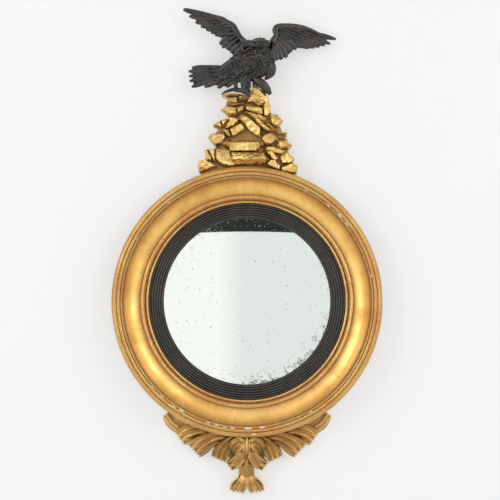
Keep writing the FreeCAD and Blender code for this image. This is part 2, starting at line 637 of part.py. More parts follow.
def nails(spare=0.0):
    """Brads that hold the backboard; their heads lie on its back."""
    pieces = []
    for x, z in nail_places():
        head = Part.makeCylinder(NAIL_HEAD_RADIUS, NAIL_HEAD_THICK,
                                 at(x, LEDGE_DEPTH - NAIL_HEAD_THICK, z), OUTWARD)
        shank = Part.makeCylinder(NAIL_RADIUS + spare, NAIL_LENGTH + spare,
                                  at(x, LEDGE_DEPTH - NAIL_HEAD_THICK, z), OUTWARD)
        pieces.append(head.fuse(shank).removeSplitter())
    return pieces


def backboard_planks():
    """Three pine planks, left to right, that close the back."""
    whole = disc(BOARD_RADIUS, LEDGE_DEPTH, BOARD_FRONT).cut(nails(PIN_GAP))
    edges = (-LARGE, -PLANK_SEAM, PLANK_SEAM, LARGE)
    planks = []
    for left, right in zip(edges, edges[1:]):
        span = block(left + PLANK_GAP / 2, right - PLANK_GAP / 2, 0.0, LARGE, -LARGE, LARGE)
        planks.append(largest(whole.common(span)))
    return planks


# ---- hanger ------------------------------------------------------------------------
def hanger_plate():
    """Brass plate with the knuckle that the ring's bar turns in."""
    body = block(-PLATE_WIDTH / 2, PLATE_WIDTH / 2, LEDGE_DEPTH - PLATE_THICK, LEDGE_DEPTH,
                 HANGER_AXIS_HEIGHT - PLATE_BELOW, HANGER_AXIS_HEIGHT + PLATE_ABOVE)
    hinge = at(0, HINGE_DEPTH, HANGER_AXIS_HEIGHT)
    knuckle = rod(hinge, ACROSS, KNUCKLE_RADIUS, KNUCKLE_LENGTH / 2)
    half = KNUCKLE_LENGTH / 2
    web = block(-half, half, HINGE_DEPTH, LEDGE_DEPTH - PLATE_THICK,
                HANGER_AXIS_HEIGHT - RING_BAR_RADIUS, HANGER_AXIS_HEIGHT + RING_BAR_RADIUS)
    bore = rod(hinge, ACROSS, RING_BAR_RADIUS + RING_BAR_GAP, KNUCKLE_LENGTH)
    cast = joined((body, knuckle, web)).cut([bore] + hanger_screws(PIN_GAP))
    return largest(cast.common(block(-LARGE, LARGE, -LARGE, LEDGE_DEPTH, -LARGE, LARGE)))


def hanger_ring():
    """Flat brass ring on its hinge bar, hanging down."""
    hinge = at(0, HINGE_DEPTH, HANGER_AXIS_HEIGHT)
    arm_start = KNUCKLE_LENGTH / 2 + RING_SIDE_GAP
    arm_end = arm_start + RING_ARM_WIDTH
    back = HINGE_DEPTH - RING_BAR_RADIUS
    front = HINGE_DEPTH + RING_BAR_RADIUS
    centre = HANGER_AXIS_HEIGHT - RING_DROP
    ring = Part.makeCylinder(RING_OUTER, front - back, at(0, back, centre), OUTWARD)
    bore = Part.makeCylinder(RING_BORE, front - back, at(0, back, centre), OUTWARD)
    landing = centre + math.sqrt((RING_BORE + RING_WALL / 2) ** 2 - arm_end ** 2)
    arms = [block(min(side * arm_start, side * arm_end), max(side * arm_start, side * arm_end),
                  back, front, landing, HANGER_AXIS_HEIGHT) for side in (-1, 1)]
    bar = rod(hinge, ACROSS, RING_BAR_RADIUS, arm_end)
    return joined([ring, bar] + arms).cut(bore)


# ---- rockwork ----------------------------------------------------------------------
def frame_clearance():
    """The round frame with room to spare, for cutting what is carved to sit against it."""
    behind = disc(CARCASE_RADIUS + CURVED_GAP, -CUT_PAST, CARCASE_THICK - CURVED_GAP)
    ahead = disc(FRAME_RADIUS + CURVED_GAP, CARCASE_THICK - CURVED_GAP, LARGE)
    return [behind, ahead]


def rockwork():
    """All the stones as one mass, seated on the frame."""
    lifted = [(front, [(x, FRAME_RADIUS + height) for x, height in corners])
              for front, corners in STONES + (PERCH_STONE,)]
    core = plate([(x, FRAME_RADIUS + height) for x, height in CORE_OUTLINE], STRAP_THICK, CORE_FRONT)
    stones = [faceted(corners, STRAP_THICK, front, STONE_SHOULDER, STONE_SHRINK)
              for front, corners in lifted]
    return largest(joined([core] + stones).cut(frame_clearance()))


def rockwork_blocks(mass):
    """The rockwork sawn at its glue joints, with its fixing holes, from the bottom up."""
    holes = crest_dowels(PIN_GAP, DOWEL_END_GAP) + rockwork_dowels(PIN_GAP, DOWEL_END_GAP)
    holes += strap_screws(crest_screw_places(), PIN_GAP)
    holes.append(mounting_pin(PIN_GAP, DOWEL_END_GAP))
    drilled = mass.cut(holes)
    heights = [-LARGE] + [FRAME_RADIUS + joint for joint in BLOCK_JOINTS] + [LARGE]
    return [largest(drilled.common(block(-LARGE, LARGE, 0.0, LARGE, low, high)))
            for low, high in zip(heights, heights[1:])]


# ---- eagle -------------------------------------------------------------------------
def wing_depth(x):
    """Depth of a wing's back face: level at the root, then falling back."""
    return WING_ROOT_BACK - WING_LEAN * max(abs(x) - WING_ROOT, 0.0)


def wing(outline, edge):
    """Wing blade that leans back towards its tip, with a rounded leading edge."""
    tip_side = 1 if outline[0][0] > 0 else -1
    points = [at(x, WING_ROOT_BACK - WING_LEAN * (x * tip_side - WING_ROOT), PERCH_HEIGHT + height)
              for x, height in outline]
    face = Part.Face(Part.makePolygon(points + points[:1]))
    blade = face.extrude(OUTWARD * WING_THICK)
    roll = swelling([(x, wing_depth(x) + WING_THICK / 2, height, radius)
                     for x, height, radius in edge], PERCH_HEIGHT, straight=True)
    return joined((blade, roll))


def carved(forms):
    """One solid from round forms, their heights measured up from the perch."""
    lumps = [swelling(stations, PERCH_HEIGHT) for stations in forms]
    return joined(lumps) if len(lumps) > 1 else lumps[0]


def eagle_pieces(rocks):
    """The eagle's seven carved pieces, each cut to its neighbours."""
    fixings = wing_dowels(PIN_GAP, DOWEL_END_GAP) + [mounting_pin(PIN_GAP, DOWEL_END_GAP)]
    body = carved((EAGLE_BODY, EAGLE_THIGH))
    x, depth, height, radius = EAGLE_SKULL
    skull = Part.makeSphere(radius, at(x, depth, PERCH_HEIGHT + height))
    head = joined((skull, carved((EAGLE_NECK,)), carved((EAGLE_BEAK,))))
    tail = plate([(x, PERCH_HEIGHT + height) for x, height in TAIL_OUTLINE], TAIL_BACK,
                 TAIL_BACK + TAIL_THICK)
    left_leg = carved(LEFT_LEG)
    pieces = {"eagle_body": body.cut(rocks)}
    pieces["eagle_head"] = head.cut(body)
    pieces["eagle_tail"] = tail.cut(body)
    pieces["eagle_left_wing"] = wing(LEFT_WING_OUTLINE, LEFT_WING_EDGE).cut([body, head])
    pieces["eagle_right_wing"] = wing(RIGHT_WING_OUTLINE, RIGHT_WING_EDGE).cut([body, head])
    pieces["eagle_left_leg"] = left_leg.cut([body, tail, rocks])
    pieces["eagle_right_leg"] = carved((RIGHT_LEG,)).cut([body, left_leg, rocks])
    return {name: largest(piece.cut(fixings)) for name, piece in pieces.items()}


# ---- apron -------------------------------------------------------------------------
def carved_leaf(lobes):
    """Acanthus carving from its lobes, seated against the bottom of the frame."""
    lumps = [faceted([(x, -FRAME_RADIUS - drop) for x, drop in corners], STRAP_THICK, front,
                     LEAF_SHOULDER, LEAF_SHRINK) for front, corners in lobes]
    return joined(lumps).cut(frame_clearance())


def apron_pieces():
    """Centre leaf and the two sprays that are glued to it."""
    holes = apron_dowels(PIN_GAP, DOWEL_END_GAP) + strap_screws(apron_screw_places(), PIN_GAP)
    centre = carved_leaf(CENTRE_LEAF)
    left = carved_leaf(LEFT_SPRAY).cut(centre)
    right = carved_leaf(RIGHT_SPRAY).cut([centre, left])
    shapes = {"apron_centre_leaf": centre, "apron_left_spray": left, "apron_right_spray": right}
    return {name: largest(shape.cut(holes)) for name, shape in shapes.items()}


# ---- assembly ----------------------------------------------------------------------
def numbered(name, pieces):
    """Name each of a row of like pieces by its place in the row."""
    return {"%s_%d" % (name, index + 1): piece for index, piece in enumerate(pieces)}


def frame_nodes():
    """The round frame, its glass and its back."""
    nodes = {"carcase_ring": carcase()}
    mouldings = ring_lengths(moulding_section(), SEGMENT_JOINT_ANGLES)
    nodes.update(numbered("front_moulding_segment",
                          [largest(piece.cut(moulding_screws(PIN_GAP))) for piece in mouldings]))
    nodes.update(numbered("slip_segment", ring_lengths(slip_section(), SLIP_JOINT_ANGLES)))
    nodes["convex_mirror_plate"] = dome(GLASS_RADIUS, 0.0, GLASS_THICK)
    amalgam_front = GLASS_THICK + CURVED_GAP
    nodes["tin_amalgam_backing"] = dome(GLASS_RADIUS - AMALGAM_INSET, amalgam_front,
                                        amalgam_front + AMALGAM_THICK)
    for side, plank in zip(("left", "centre", "right"), backboard_planks()):
        nodes["backboard_plank_" + side] = plank
    nodes["glazing_blocks"] = Part.makeCompound(glazing_blocks())
    nodes["backboard_nails"] = Part.makeCompound(nails())
    nodes["moulding_screws"] = Part.makeCompound(moulding_screws())
    nodes["hanger_plate"] = hanger_plate()
    nodes["hanger_ring"] = hanger_ring()
    nodes["hanger_screws"] = Part.makeCompound(hanger_screws())
    return nodes


def crest_nodes():
    """The rockwork, the eagle and what holds them."""
    mass = rockwork()
    nodes = {"rockwork_%s_block" % place: piece
             for place, piece in zip(("lower", "middle", "upper"), rockwork_blocks(mass))}
    nodes.update(eagle_pieces(mass))
    screw_holes = strap_screws(crest_screw_places(), PIN_GAP)
    nodes["crest_strap_left"] = crest_strap(-1).cut(screw_holes)
    nodes["crest_strap_right"] = crest_strap(1).cut(screw_holes)
    nodes["crest_strap_screws"] = Part.makeCompound(strap_screws(crest_screw_places()))
    nodes["crest_dowels"] = Part.makeCompound(crest_dowels())
    nodes["rockwork_dowels"] = Part.makeCompound(rockwork_dowels())
    nodes["eagle_wing_dowels"] = Part.makeCompound(wing_dowels())
    nodes["eagle_mounting_pin"] = mounting_pin()
    return nodes


def apron_nodes():
    """The apron and what holds it."""
    nodes = apron_pieces()
    nodes["apron_strap"] = apron_strap().cut(strap_screws(apron_screw_places(), PIN_GAP))
    nodes["apron_strap_screws"] = Part.makeCompound(strap_screws(apron_screw_places()))
    nodes["apron_dowels"] = Part.makeCompound(apron_dowels())
    return nodes


def save_all():
    """Write each node to its own file and say how big it is."""
    os.makedirs("parts", exist_ok=True)
    nodes = {}
    for group in (frame_nodes(), crest_nodes(), apron_nodes()):
        nodes.update(group)
    for name, shape in nodes.items():
        shape.exportStep("parts/%s.step" % name)
        print("%-28s %2d solids %10.0f mm3 %s" % (name, len(shape.Solids), shape.Volume,
                                                  "" if shape.isValid() else "INVALID"))


save_all()
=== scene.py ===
import json
import logging
import math
import random
from dataclasses import dataclass, field
from enum import Enum
from typing import Callable, Iterable, Sequence

import bmesh
import bpy
from mathutils import Matrix, Vector, noise


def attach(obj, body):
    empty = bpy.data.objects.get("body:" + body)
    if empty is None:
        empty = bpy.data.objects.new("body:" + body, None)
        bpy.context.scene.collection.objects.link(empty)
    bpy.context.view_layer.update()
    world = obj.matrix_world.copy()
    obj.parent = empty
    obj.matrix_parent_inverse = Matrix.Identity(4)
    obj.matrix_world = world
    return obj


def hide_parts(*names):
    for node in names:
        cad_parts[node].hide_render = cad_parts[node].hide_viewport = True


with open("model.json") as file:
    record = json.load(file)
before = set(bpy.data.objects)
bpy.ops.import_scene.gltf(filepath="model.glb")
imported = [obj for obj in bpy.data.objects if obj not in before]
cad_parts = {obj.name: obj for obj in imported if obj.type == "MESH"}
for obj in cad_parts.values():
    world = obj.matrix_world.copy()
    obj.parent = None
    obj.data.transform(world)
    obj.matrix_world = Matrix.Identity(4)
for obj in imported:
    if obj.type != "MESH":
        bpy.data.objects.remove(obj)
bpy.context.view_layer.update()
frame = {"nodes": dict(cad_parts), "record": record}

# Sizes in the classes are millimetres. A "depth" is the distance in front of the wall, a
# "height" in the crest is measured up from the frame's top edge, a "drop" in the apron down
# from its bottom edge, and an eagle's "height" up from its perch.
MM = 0.001
FRAME_RADIUS = 275.72
PERCH_HEIGHT = 427.72
LOG = logging.getLogger("convex_mirror")

Pair = tuple[float, float]
Triple = tuple[float, float, float]
Colour = tuple[float, float, float, float]


class Layer(Enum):
    """Surface states painted on the vertices, read by the finishes."""

    WORN = "worn"
    # DEEP carries dirt together with painted shade in hollows and where parts meet.
    DEEP = "deep"
    CHIPPED = "chipped"


def at(x: float, depth: float, z: float) -> Vector:
    """Point x to the right, depth in front of the wall and z up, from millimetres."""
    return Vector((x, -depth, z)) * MM


def rgb(red: float, green: float, blue: float) -> Colour:
    """Opaque colour from linear parts."""
    return (red, green, blue, 1.0)


def clamp(value: float, low: float = 0.0, high: float = 1.0) -> float:
    """Value held between two limits."""
    return max(low, min(high, value))


def bump_shape(distance: float, reach: float) -> float:
    """Smooth hill: 1 at distance 0, 0 from reach on."""
    share = clamp(1.0 - abs(distance) / reach)
    return share * share * (3.0 - 2.0 * share)


# ---- materials -----------------------------------------------------------------------
class Graph:
    """The nodes of one material, wired from Object coordinates to a Principled shader."""

    def __init__(self, name: str) -> None:
        """Start a material.

        Args:
            name: The material's name.
        """
        self.material = bpy.data.materials.new(name)
        self.material.use_nodes = True
        self.nodes = self.material.node_tree.nodes
        self.links = self.material.node_tree.links
        self.nodes.clear()
        self.shader = self.add("ShaderNodeBsdfPrincipled")
        self.output = self.add("ShaderNodeOutputMaterial")
        self.wire(self.shader.outputs["BSDF"], self.output.inputs["Surface"])
        self.place = self.add("ShaderNodeTexCoord").outputs["Object"]

    def add(self, kind: str, **settings: object) -> bpy.types.Node:
        """Add a node and set its properties.

        Args:
            kind: Blender's node type.
            settings: Properties of the node by name.

        Returns:
            The new node.
        """
        node = self.nodes.new(kind)
        for name, value in settings.items():
            setattr(node, name, value)
        return node

    def wire(self, source: bpy.types.NodeSocket, target: bpy.types.NodeSocket) -> None:
        """Link an output to an input."""
        self.links.new(source, target)

    def put(self, target: bpy.types.NodeSocket, value: object) -> None:
        """Link or set an input, whichever the value is."""
        if isinstance(value, bpy.types.NodeSocket):
            self.wire(value, target)
        else:
            target.default_value = value

    def stretched(self, scale: Triple) -> bpy.types.NodeSocket:
        """Object coordinates scaled apart along the axes."""
        mapping = self.add("ShaderNodeMapping")
        self.wire(self.place, mapping.inputs["Vector"])
        mapping.inputs["Scale"].default_value = scale
        return mapping.outputs["Vector"]

    def noise(self, size: float, detail: float = 4.0, rough: float = 0.55,
              where: bpy.types.NodeSocket | None = None, warp: float = 0.0) -> bpy.types.NodeSocket:
        """Cloudy pattern.

        Args:
            size: Size of a cloud in millimetres.
            detail: Octaves.
            rough: Weight of the finer octaves.
            where: Coordinates, the object's own if left out.
            warp: Distortion.

        Returns:
            The pattern's value, 0 to 1.
        """
        node = self.add("ShaderNodeTexNoise")
        self.wire(where or self.place, node.inputs["Vector"])
        node.inputs["Scale"].default_value = 1.0 / (size * MM)
        node.inputs["Detail"].default_value = detail
        node.inputs["Roughness"].default_value = rough
        node.inputs["Distortion"].default_value = warp
        return node.outputs["Fac"]

    def cracks(self, size: float, where: bpy.types.NodeSocket) -> bpy.types.NodeSocket:
        """Distance to the nearest edge of a cell pattern with cells of that size in millimetres."""
        node = self.add("ShaderNodeTexVoronoi", feature="DISTANCE_TO_EDGE")
        self.wire(where, node.inputs["Vector"])
        node.inputs["Scale"].default_value = 1.0 / (size * MM)
        return node.outputs["Distance"]

    def polar(self, around: float) -> bpy.types.NodeSocket:
        """Coordinates along a ring about the frame's axis, across it, and out from the wall.

        Args:
            around: Radius in millimetres at which a length along the ring is true.

        Returns:
            The coordinates in metres.
        """
        parts = self.add("ShaderNodeSeparateXYZ")
        self.wire(self.place, parts.inputs["Vector"])
        angle = self.math("ARCTAN2", parts.outputs["Z"], parts.outputs["X"])
        joined = self.add("ShaderNodeCombineXYZ")
        self.wire(self.math("MULTIPLY", angle, around * MM), joined.inputs["X"])
        self.wire(self.radius(), joined.inputs["Y"])
        self.wire(parts.outputs["Y"], joined.inputs["Z"])
        return joined.outputs["Vector"]

    def radius(self) -> bpy.types.NodeSocket:
        """Distance from the frame's axis in metres."""
        flat = self.add("ShaderNodeVectorMath", operation="MULTIPLY")
        self.wire(self.place, flat.inputs[0])
        flat.inputs[1].default_value = (1.0, 0.0, 1.0)
        length = self.add("ShaderNodeVectorMath", operation="LENGTH")
        self.wire(flat.outputs["Vector"], length.inputs[0])
        return length.outputs["Value"]

    def along(self, direction: Triple) -> bpy.types.NodeSocket:
        """Distance along a direction in metres."""
        dot = self.add("ShaderNodeVectorMath", operation="DOT_PRODUCT")
        self.wire(self.place, dot.inputs[0])
        dot.inputs[1].default_value = direction
        return dot.outputs["Value"]

    def math(self, operation: str, first: object, second: object = 0.0,
             hold: bool = False) -> bpy.types.NodeSocket:
        """Arithmetic on values or sockets, held to 0..1 if asked."""
        node = self.add("ShaderNodeMath", operation=operation, use_clamp=hold)
        self.put(node.inputs[0], first)
        self.put(node.inputs[1], second)
        return node.outputs["Value"]

    def ranged(self, value: bpy.types.NodeSocket, low: float, high: float,
               start: float = 0.0, end: float = 1.0) -> bpy.types.NodeSocket:
        """Value spread from low..high to start..end, held to those ends."""
        node = self.add("ShaderNodeMapRange", interpolation_type="SMOOTHSTEP")
        self.put(node.inputs["Value"], value)
        node.inputs["From Min"].default_value = low
        node.inputs["From Max"].default_value = high
        node.inputs["To Min"].default_value = start
        node.inputs["To Max"].default_value = end
        return node.outputs["Result"]

    def blend(self, share: object, first: object, second: object) -> bpy.types.NodeSocket:
        """Colour between two colours."""
        node = self.add("ShaderNodeMix", data_type="RGBA")
        self.put(node.inputs[0], share)
        self.put(node.inputs[6], first)
        self.put(node.inputs[7], second)
        return node.outputs[2]

    def layer(self, layer: Layer) -> bpy.types.NodeSocket:
        """A surface state painted on the vertices."""
        return self.add("ShaderNodeAttribute", attribute_name=layer.value).outputs["Fac"]

    def hollows(self, reach: float) -> bpy.types.NodeSocket:
        """How open the surface is, from 0 in a hollow of that size in millimetres to 1."""
        node = self.add("ShaderNodeAmbientOcclusion", samples=6)
        node.inputs["Distance"].default_value = reach * MM
        return node.outputs["AO"]

    def relief(self, height: bpy.types.NodeSocket, rise: float, strength: float) -> bpy.types.NodeSocket:
        """Fine relief on the surface.

        Args:
            height: The relief, 0 to 1.
            rise: Its height in millimetres.
            strength: Share of it that shows.

        Returns:
            The bent normal.
        """
        node = self.add("ShaderNodeBump")
        node.inputs["Strength"].default_value = strength
        node.inputs["Distance"].default_value = rise * MM
        self.wire(height, node.inputs["Height"])
        return node.outputs["Normal"]

    def finish(self, colour: object, metal: object, rough: object,
               normal: bpy.types.NodeSocket | None = None) -> bpy.types.Material:
        """Wire the shader's main inputs and give the material."""
        self.put(self.shader.inputs["Base Color"], colour)
        self.put(self.shader.inputs["Metallic"], metal)
        self.put(self.shader.inputs["Roughness"], rough)
        if normal is not None:
            self.wire(normal, self.shader.inputs["Normal"])
        return self.material


@dataclass(frozen=True)
class Gilding:
    """Gold leaf over red bole and white gesso, rubbed on the crests, with dirt and painted shade in the
    hollows.
    """

    name: str
    leaf: Colour = rgb(0.86, 0.55, 0.17)
    deep_leaf: Colour = rgb(0.62, 0.36, 0.10)
    bole: Colour = rgb(0.24, 0.085, 0.045)
    # grime_and_shade: colour of the grime in the crazing and of the painted shade in hollows.
    grime_and_shade: Colour = rgb(0.085, 0.045, 0.02)
    gesso: Colour = rgb(0.80, 0.72, 0.60)
    rough: float = 0.33
    # hollow and hollow_share: reach in millimetres and strength of the painted shade that ambient occlusion
    # lays in hollows.
    hollow: float = 6.0
    hollow_share: float = 0.6
    pitting: float = 0.25
    crazed: bool = False
    craze_size: float = 26.0
    craze_radius: float = 235.0
    craze_stretch: float = 0.28
    craze_bend: float = 0.35

    def craze(self, graph: Graph) -> bpy.types.NodeSocket:
        """Fine lines that run across the ring, 1 on a line."""
        ring = graph.add("ShaderNodeMapping")
        graph.wire(graph.polar(self.craze_radius), ring.inputs["Vector"])
        ring.inputs["Scale"].default_value = (1.0, self.craze_stretch, self.craze_stretch)
        bent = graph.add("ShaderNodeVectorMath", operation="ADD")
        graph.wire(ring.outputs["Vector"], bent.inputs[0])
        shift = graph.add("ShaderNodeVectorMath", operation="SCALE")
        graph.wire(graph.place, shift.inputs[0])
        shift.inputs["Scale"].default_value = self.craze_bend
        graph.wire(shift.outputs["Vector"], bent.inputs[1])
        return graph.ranged(graph.cracks(self.craze_size, bent.outputs["Vector"]), 0.004, 0.018, 1.0, 0.0)

    def make(self) -> bpy.types.Material:
        """Build the material.

        Returns:
            The gilding.
        """
        graph = Graph(self.name)
        clouds = graph.noise(60.0, 3.0)
        fine = graph.noise(4.5, 5.0, 0.65)
        speck = graph.noise(1.3, 4.0, 0.7)
        colour = graph.blend(graph.ranged(clouds, 0.35, 0.68), self.leaf, self.deep_leaf)
        tarnish = graph.ranged(fine, 0.52, 0.74, 0.0, 0.45)
        colour = graph.blend(tarnish, colour, self.deep_leaf)
        rubbed = graph.math("ADD", graph.layer(Layer.WORN), graph.math("SUBTRACT", fine, 0.62))
        rubbed = graph.ranged(rubbed, 0.42, 0.72, 0.0, 0.75)
        colour = graph.blend(rubbed, colour, self.bole)
        # Painted shade: ambient occlusion darkens the hollows towards grime and bole, on top of the dirt and
        # painted shade of the DEEP layer.
        closed = graph.ranged(graph.hollows(self.hollow), 0.25, 0.85, self.hollow_share, 0.0)
        dirt_and_shade = graph.math("MULTIPLY", graph.layer(Layer.DEEP), graph.ranged(fine, 0.2, 0.6, 0.55, 1.0))
        dirt_and_shade = graph.math("MAXIMUM", dirt_and_shade, closed)
        colour = graph.blend(dirt_and_shade, colour, graph.blend(graph.ranged(clouds, 0.4, 0.6), self.grime_and_shade, self.bole))
        grain = graph.math("ADD", fine, graph.math("MULTIPLY", speck, 0.5))
        normal = graph.relief(grain, self.pitting, 0.5)
        if self.crazed:
            line = graph.math("MULTIPLY", self.craze(graph), graph.ranged(clouds, 0.45, 0.62, 0.0, 0.22))
            colour = graph.blend(line, colour, self.grime_and_shade)
        bare = graph.math("ADD", graph.layer(Layer.CHIPPED), graph.math("SUBTRACT", speck, 0.5))
        bare = graph.ranged(bare, 0.45, 0.58)
        colour = graph.blend(bare, colour, self.gesso)
        metal = graph.math("SUBTRACT", 0.96, graph.math("MULTIPLY", rubbed, 0.5))
        metal = graph.math("SUBTRACT", metal, graph.math("MULTIPLY", dirt_and_shade, 0.55))
        metal = graph.math("MULTIPLY", metal, graph.math("SUBTRACT", 1.0, bare), True)
        rough = graph.ranged(clouds, 0.3, 0.7, self.rough - 0.05, self.rough + 0.1)
        rough = graph.math("ADD", rough, graph.math("MULTIPLY", dirt_and_shade, 0.3), True)
        rough = graph.math("MAXIMUM", rough, graph.math("MULTIPLY", bare, 0.85))
        return graph.finish(colour, metal, rough, normal)


@dataclass(frozen=True)
class Ebonising:
    """Black stain and wax, rubbed to grey brown or to old gilt on the crests, with painted shade in the
    hollows.
    """

    name: str
    black: Colour = rgb(0.010, 0.0095, 0.010)
    brown: Colour = rgb(0.030, 0.022, 0.016)
    rub: Colour = rgb(0.16, 0.135, 0.10)
    gilt: Colour = rgb(0.42, 0.27, 0.10)
    dust: Colour = rgb(0.20, 0.19, 0.17)
    rough: float = 0.34
    shine: float = 0.5
    dusty: float = 0.25
    gilt_share: float = 0.0
    grain: float = 4.0
    hollow: float = 5.0
    pitting: float = 0.35

    def make(self) -> bpy.types.Material:
        """Build the material.

        Returns:
            The ebonised finish.
        """
        graph = Graph(self.name)
        # Painted shade: ambient occlusion dims the specular in hollows.
        open_share = graph.ranged(graph.hollows(self.hollow), 0.25, 0.8)
        graph.wire(graph.math("MULTIPLY", open_share, self.shine), graph.shader.inputs["Specular IOR Level"])
        clouds = graph.noise(38.0, 3.0)
        fine = graph.noise(self.grain, 5.0, 0.65)
        colour = graph.blend(graph.ranged(clouds, 0.4, 0.62), self.black, self.brown)
        worn = graph.math("ADD", graph.layer(Layer.WORN), graph.math("SUBTRACT", fine, 0.55))
        worn = graph.ranged(worn, 0.45, 0.85, 0.0, 0.85)
        rubbed = graph.blend(graph.ranged(graph.noise(17.0, 3.0), 0.46, 0.58, 0.0, self.gilt_share),
                             self.rub, self.gilt)
        colour = graph.blend(worn, colour, rubbed)
        settled = graph.ranged(graph.noise(2.2, 4.0, 0.7), 0.55, 0.72, 0.0, self.dusty)
        colour = graph.blend(settled, colour, self.dust)
        # Painted shade: the DEEP layer and ambient occlusion darken hollows to black.
        deep = graph.math("MAXIMUM", graph.math("MULTIPLY", graph.layer(Layer.DEEP), 0.8),
                          graph.math("SUBTRACT", 1.0, open_share), True)
        colour = graph.blend(deep, colour, self.black)
        rough = graph.ranged(fine, 0.3, 0.7, self.rough - 0.07, self.rough + 0.14)
        rough = graph.math("ADD", rough, graph.math("MULTIPLY", settled, 0.5), True)
        metal = graph.math("MULTIPLY", worn, 0.5 * self.gilt_share + 0.05)
        metal = graph.math("MULTIPLY", metal, graph.math("SUBTRACT", 1.0, deep))
        return graph.finish(colour, metal, rough, graph.relief(fine, self.pitting, 0.6))


@dataclass(frozen=True)
class OldMirror:
    """Silvered glass with grey foxing that thickens towards its edge."""

    name: str
    silver: Colour = rgb(0.86, 0.895, 0.87)
    stain: Colour = rgb(0.70, 0.735, 0.71)
    spot: Colour = rgb(0.19, 0.18, 0.155)
    clear_radius: float = 105.0
    edge_radius: float = 176.0
    heavy: tuple[tuple[Triple, float], ...] = (((0.60, 0.0, -0.80), 0.24), ((-0.15, 0.0, -0.99), 0.10),
                                               ((-0.75, 0.0, 0.66), 0.12), ((0.98, 0.0, 0.20), 0.08))

    def make(self) -> bpy.types.Material:
        """Build the material.

        Returns:
            The mirror's glass.
        """
        graph = Graph(self.name)
        rim = graph.ranged(graph.radius(), self.clear_radius * MM, self.edge_radius * MM)
        density = graph.math("MULTIPLY", rim, 0.09)
        for direction, share in self.heavy:
            side = graph.ranged(graph.along(direction), 0.09, 0.175, 0.0, share)
            density = graph.math("ADD", density, graph.math("MULTIPLY", side, rim))
        patches = graph.ranged(graph.noise(11.0, 3.0), 0.38, 0.62, 0.15, 1.0)
        density = graph.math("MULTIPLY", density, patches)
        specks = graph.noise(1.9, 2.0, 0.6)
        limit = graph.math("SUBTRACT", 0.74, density)
        spots = graph.math("MULTIPLY", graph.math("SUBTRACT", specks, limit), 16.0, True)
        dots = graph.ranged(graph.noise(4.6, 1.0, 0.3), 0.735, 0.76)
        spots = graph.math("MAXIMUM", spots, graph.math("MULTIPLY", dots, 0.8))
        haze = graph.ranged(density, 0.05, 0.4, 0.0, 0.35)
        colour = graph.blend(haze, self.silver, self.stain)
        colour = graph.blend(spots, colour, self.spot)
        metal = graph.math("SUBTRACT", 1.0, graph.math("MULTIPLY", spots, 0.8))
        rough = graph.math("ADD", 0.025, graph.math("MULTIPLY", spots, 0.5))
        graph.shader.inputs["Coat Weight"].default_value = 0.25
        graph.shader.inputs["Coat Roughness"].default_value = 0.02
        return graph.finish(colour, metal, rough)


@dataclass(frozen=True)
class BareWood:
    """Bare timber with grain along one axis, darkened by age."""

    name: str
    pale: Colour = rgb(0.40, 0.235, 0.11)
    dark: Colour = rgb(0.20, 0.105, 0.048)
    across: float = 3.4
    length: Triple = (1.0, 1.0, 0.06)
    ring: bool = False

    def make(self) -> bpy.types.Material:
        """Build the material.

        Returns:
            The timber.
        """
        graph = Graph(self.name)
        if self.ring:
            grain = graph.add("ShaderNodeMapping")
            graph.wire(graph.polar(238.0), grain.inputs["Vector"])
            grain.inputs["Scale"].default_value = (0.06, 1.0, 1.0)
            where = grain.outputs["Vector"]
        else:
            where = graph.stretched(self.length)
        bands = graph.noise(self.across * 3.0, 3.0, 0.5, where, 0.6)
        fibres = graph.noise(self.across * 0.35, 4.0, 0.7, where)
        colour = graph.blend(graph.ranged(bands, 0.36, 0.62), self.pale, self.dark)
        colour = graph.blend(graph.ranged(fibres, 0.45, 0.75, 0.0, 0.5), colour, self.dark)
        soot = graph.ranged(graph.noise(45.0, 4.0), 0.5, 0.75, 0.0, 0.55)
        colour = graph.blend(soot, colour, rgb(0.075, 0.05, 0.033))
        rough = graph.ranged(fibres, 0.3, 0.7, 0.62, 0.85)
        return graph.finish(colour, 0.0, rough, graph.relief(fibres, 0.35, 0.6))


@dataclass(frozen=True)
class OldMetal:
    """Handled or rusted metal."""

    name: str
    bright: Colour
    dull: Colour
    spots: Colour
    rough: float = 0.45
    metal: float = 0.9

    def make(self) -> bpy.types.Material:
        """Build the material.

        Returns:
            The metal.
        """
        graph = Graph(self.name)
        clouds = graph.noise(9.0, 4.0)
        fine = graph.noise(1.1, 5.0, 0.7)
        colour = graph.blend(graph.ranged(clouds, 0.36, 0.66), self.bright, self.dull)
        patches = graph.ranged(fine, 0.5, 0.7, 0.0, 0.7)
        colour = graph.blend(patches, colour, self.spots)
        rough = graph.math("ADD", self.rough, graph.math("MULTIPLY", patches, 0.35), True)
        metal = graph.math("SUBTRACT", self.metal, graph.math("MULTIPLY", patches, 0.6), True)
        return graph.finish(colour, metal, rough, graph.relief(fine, 0.15, 0.5))


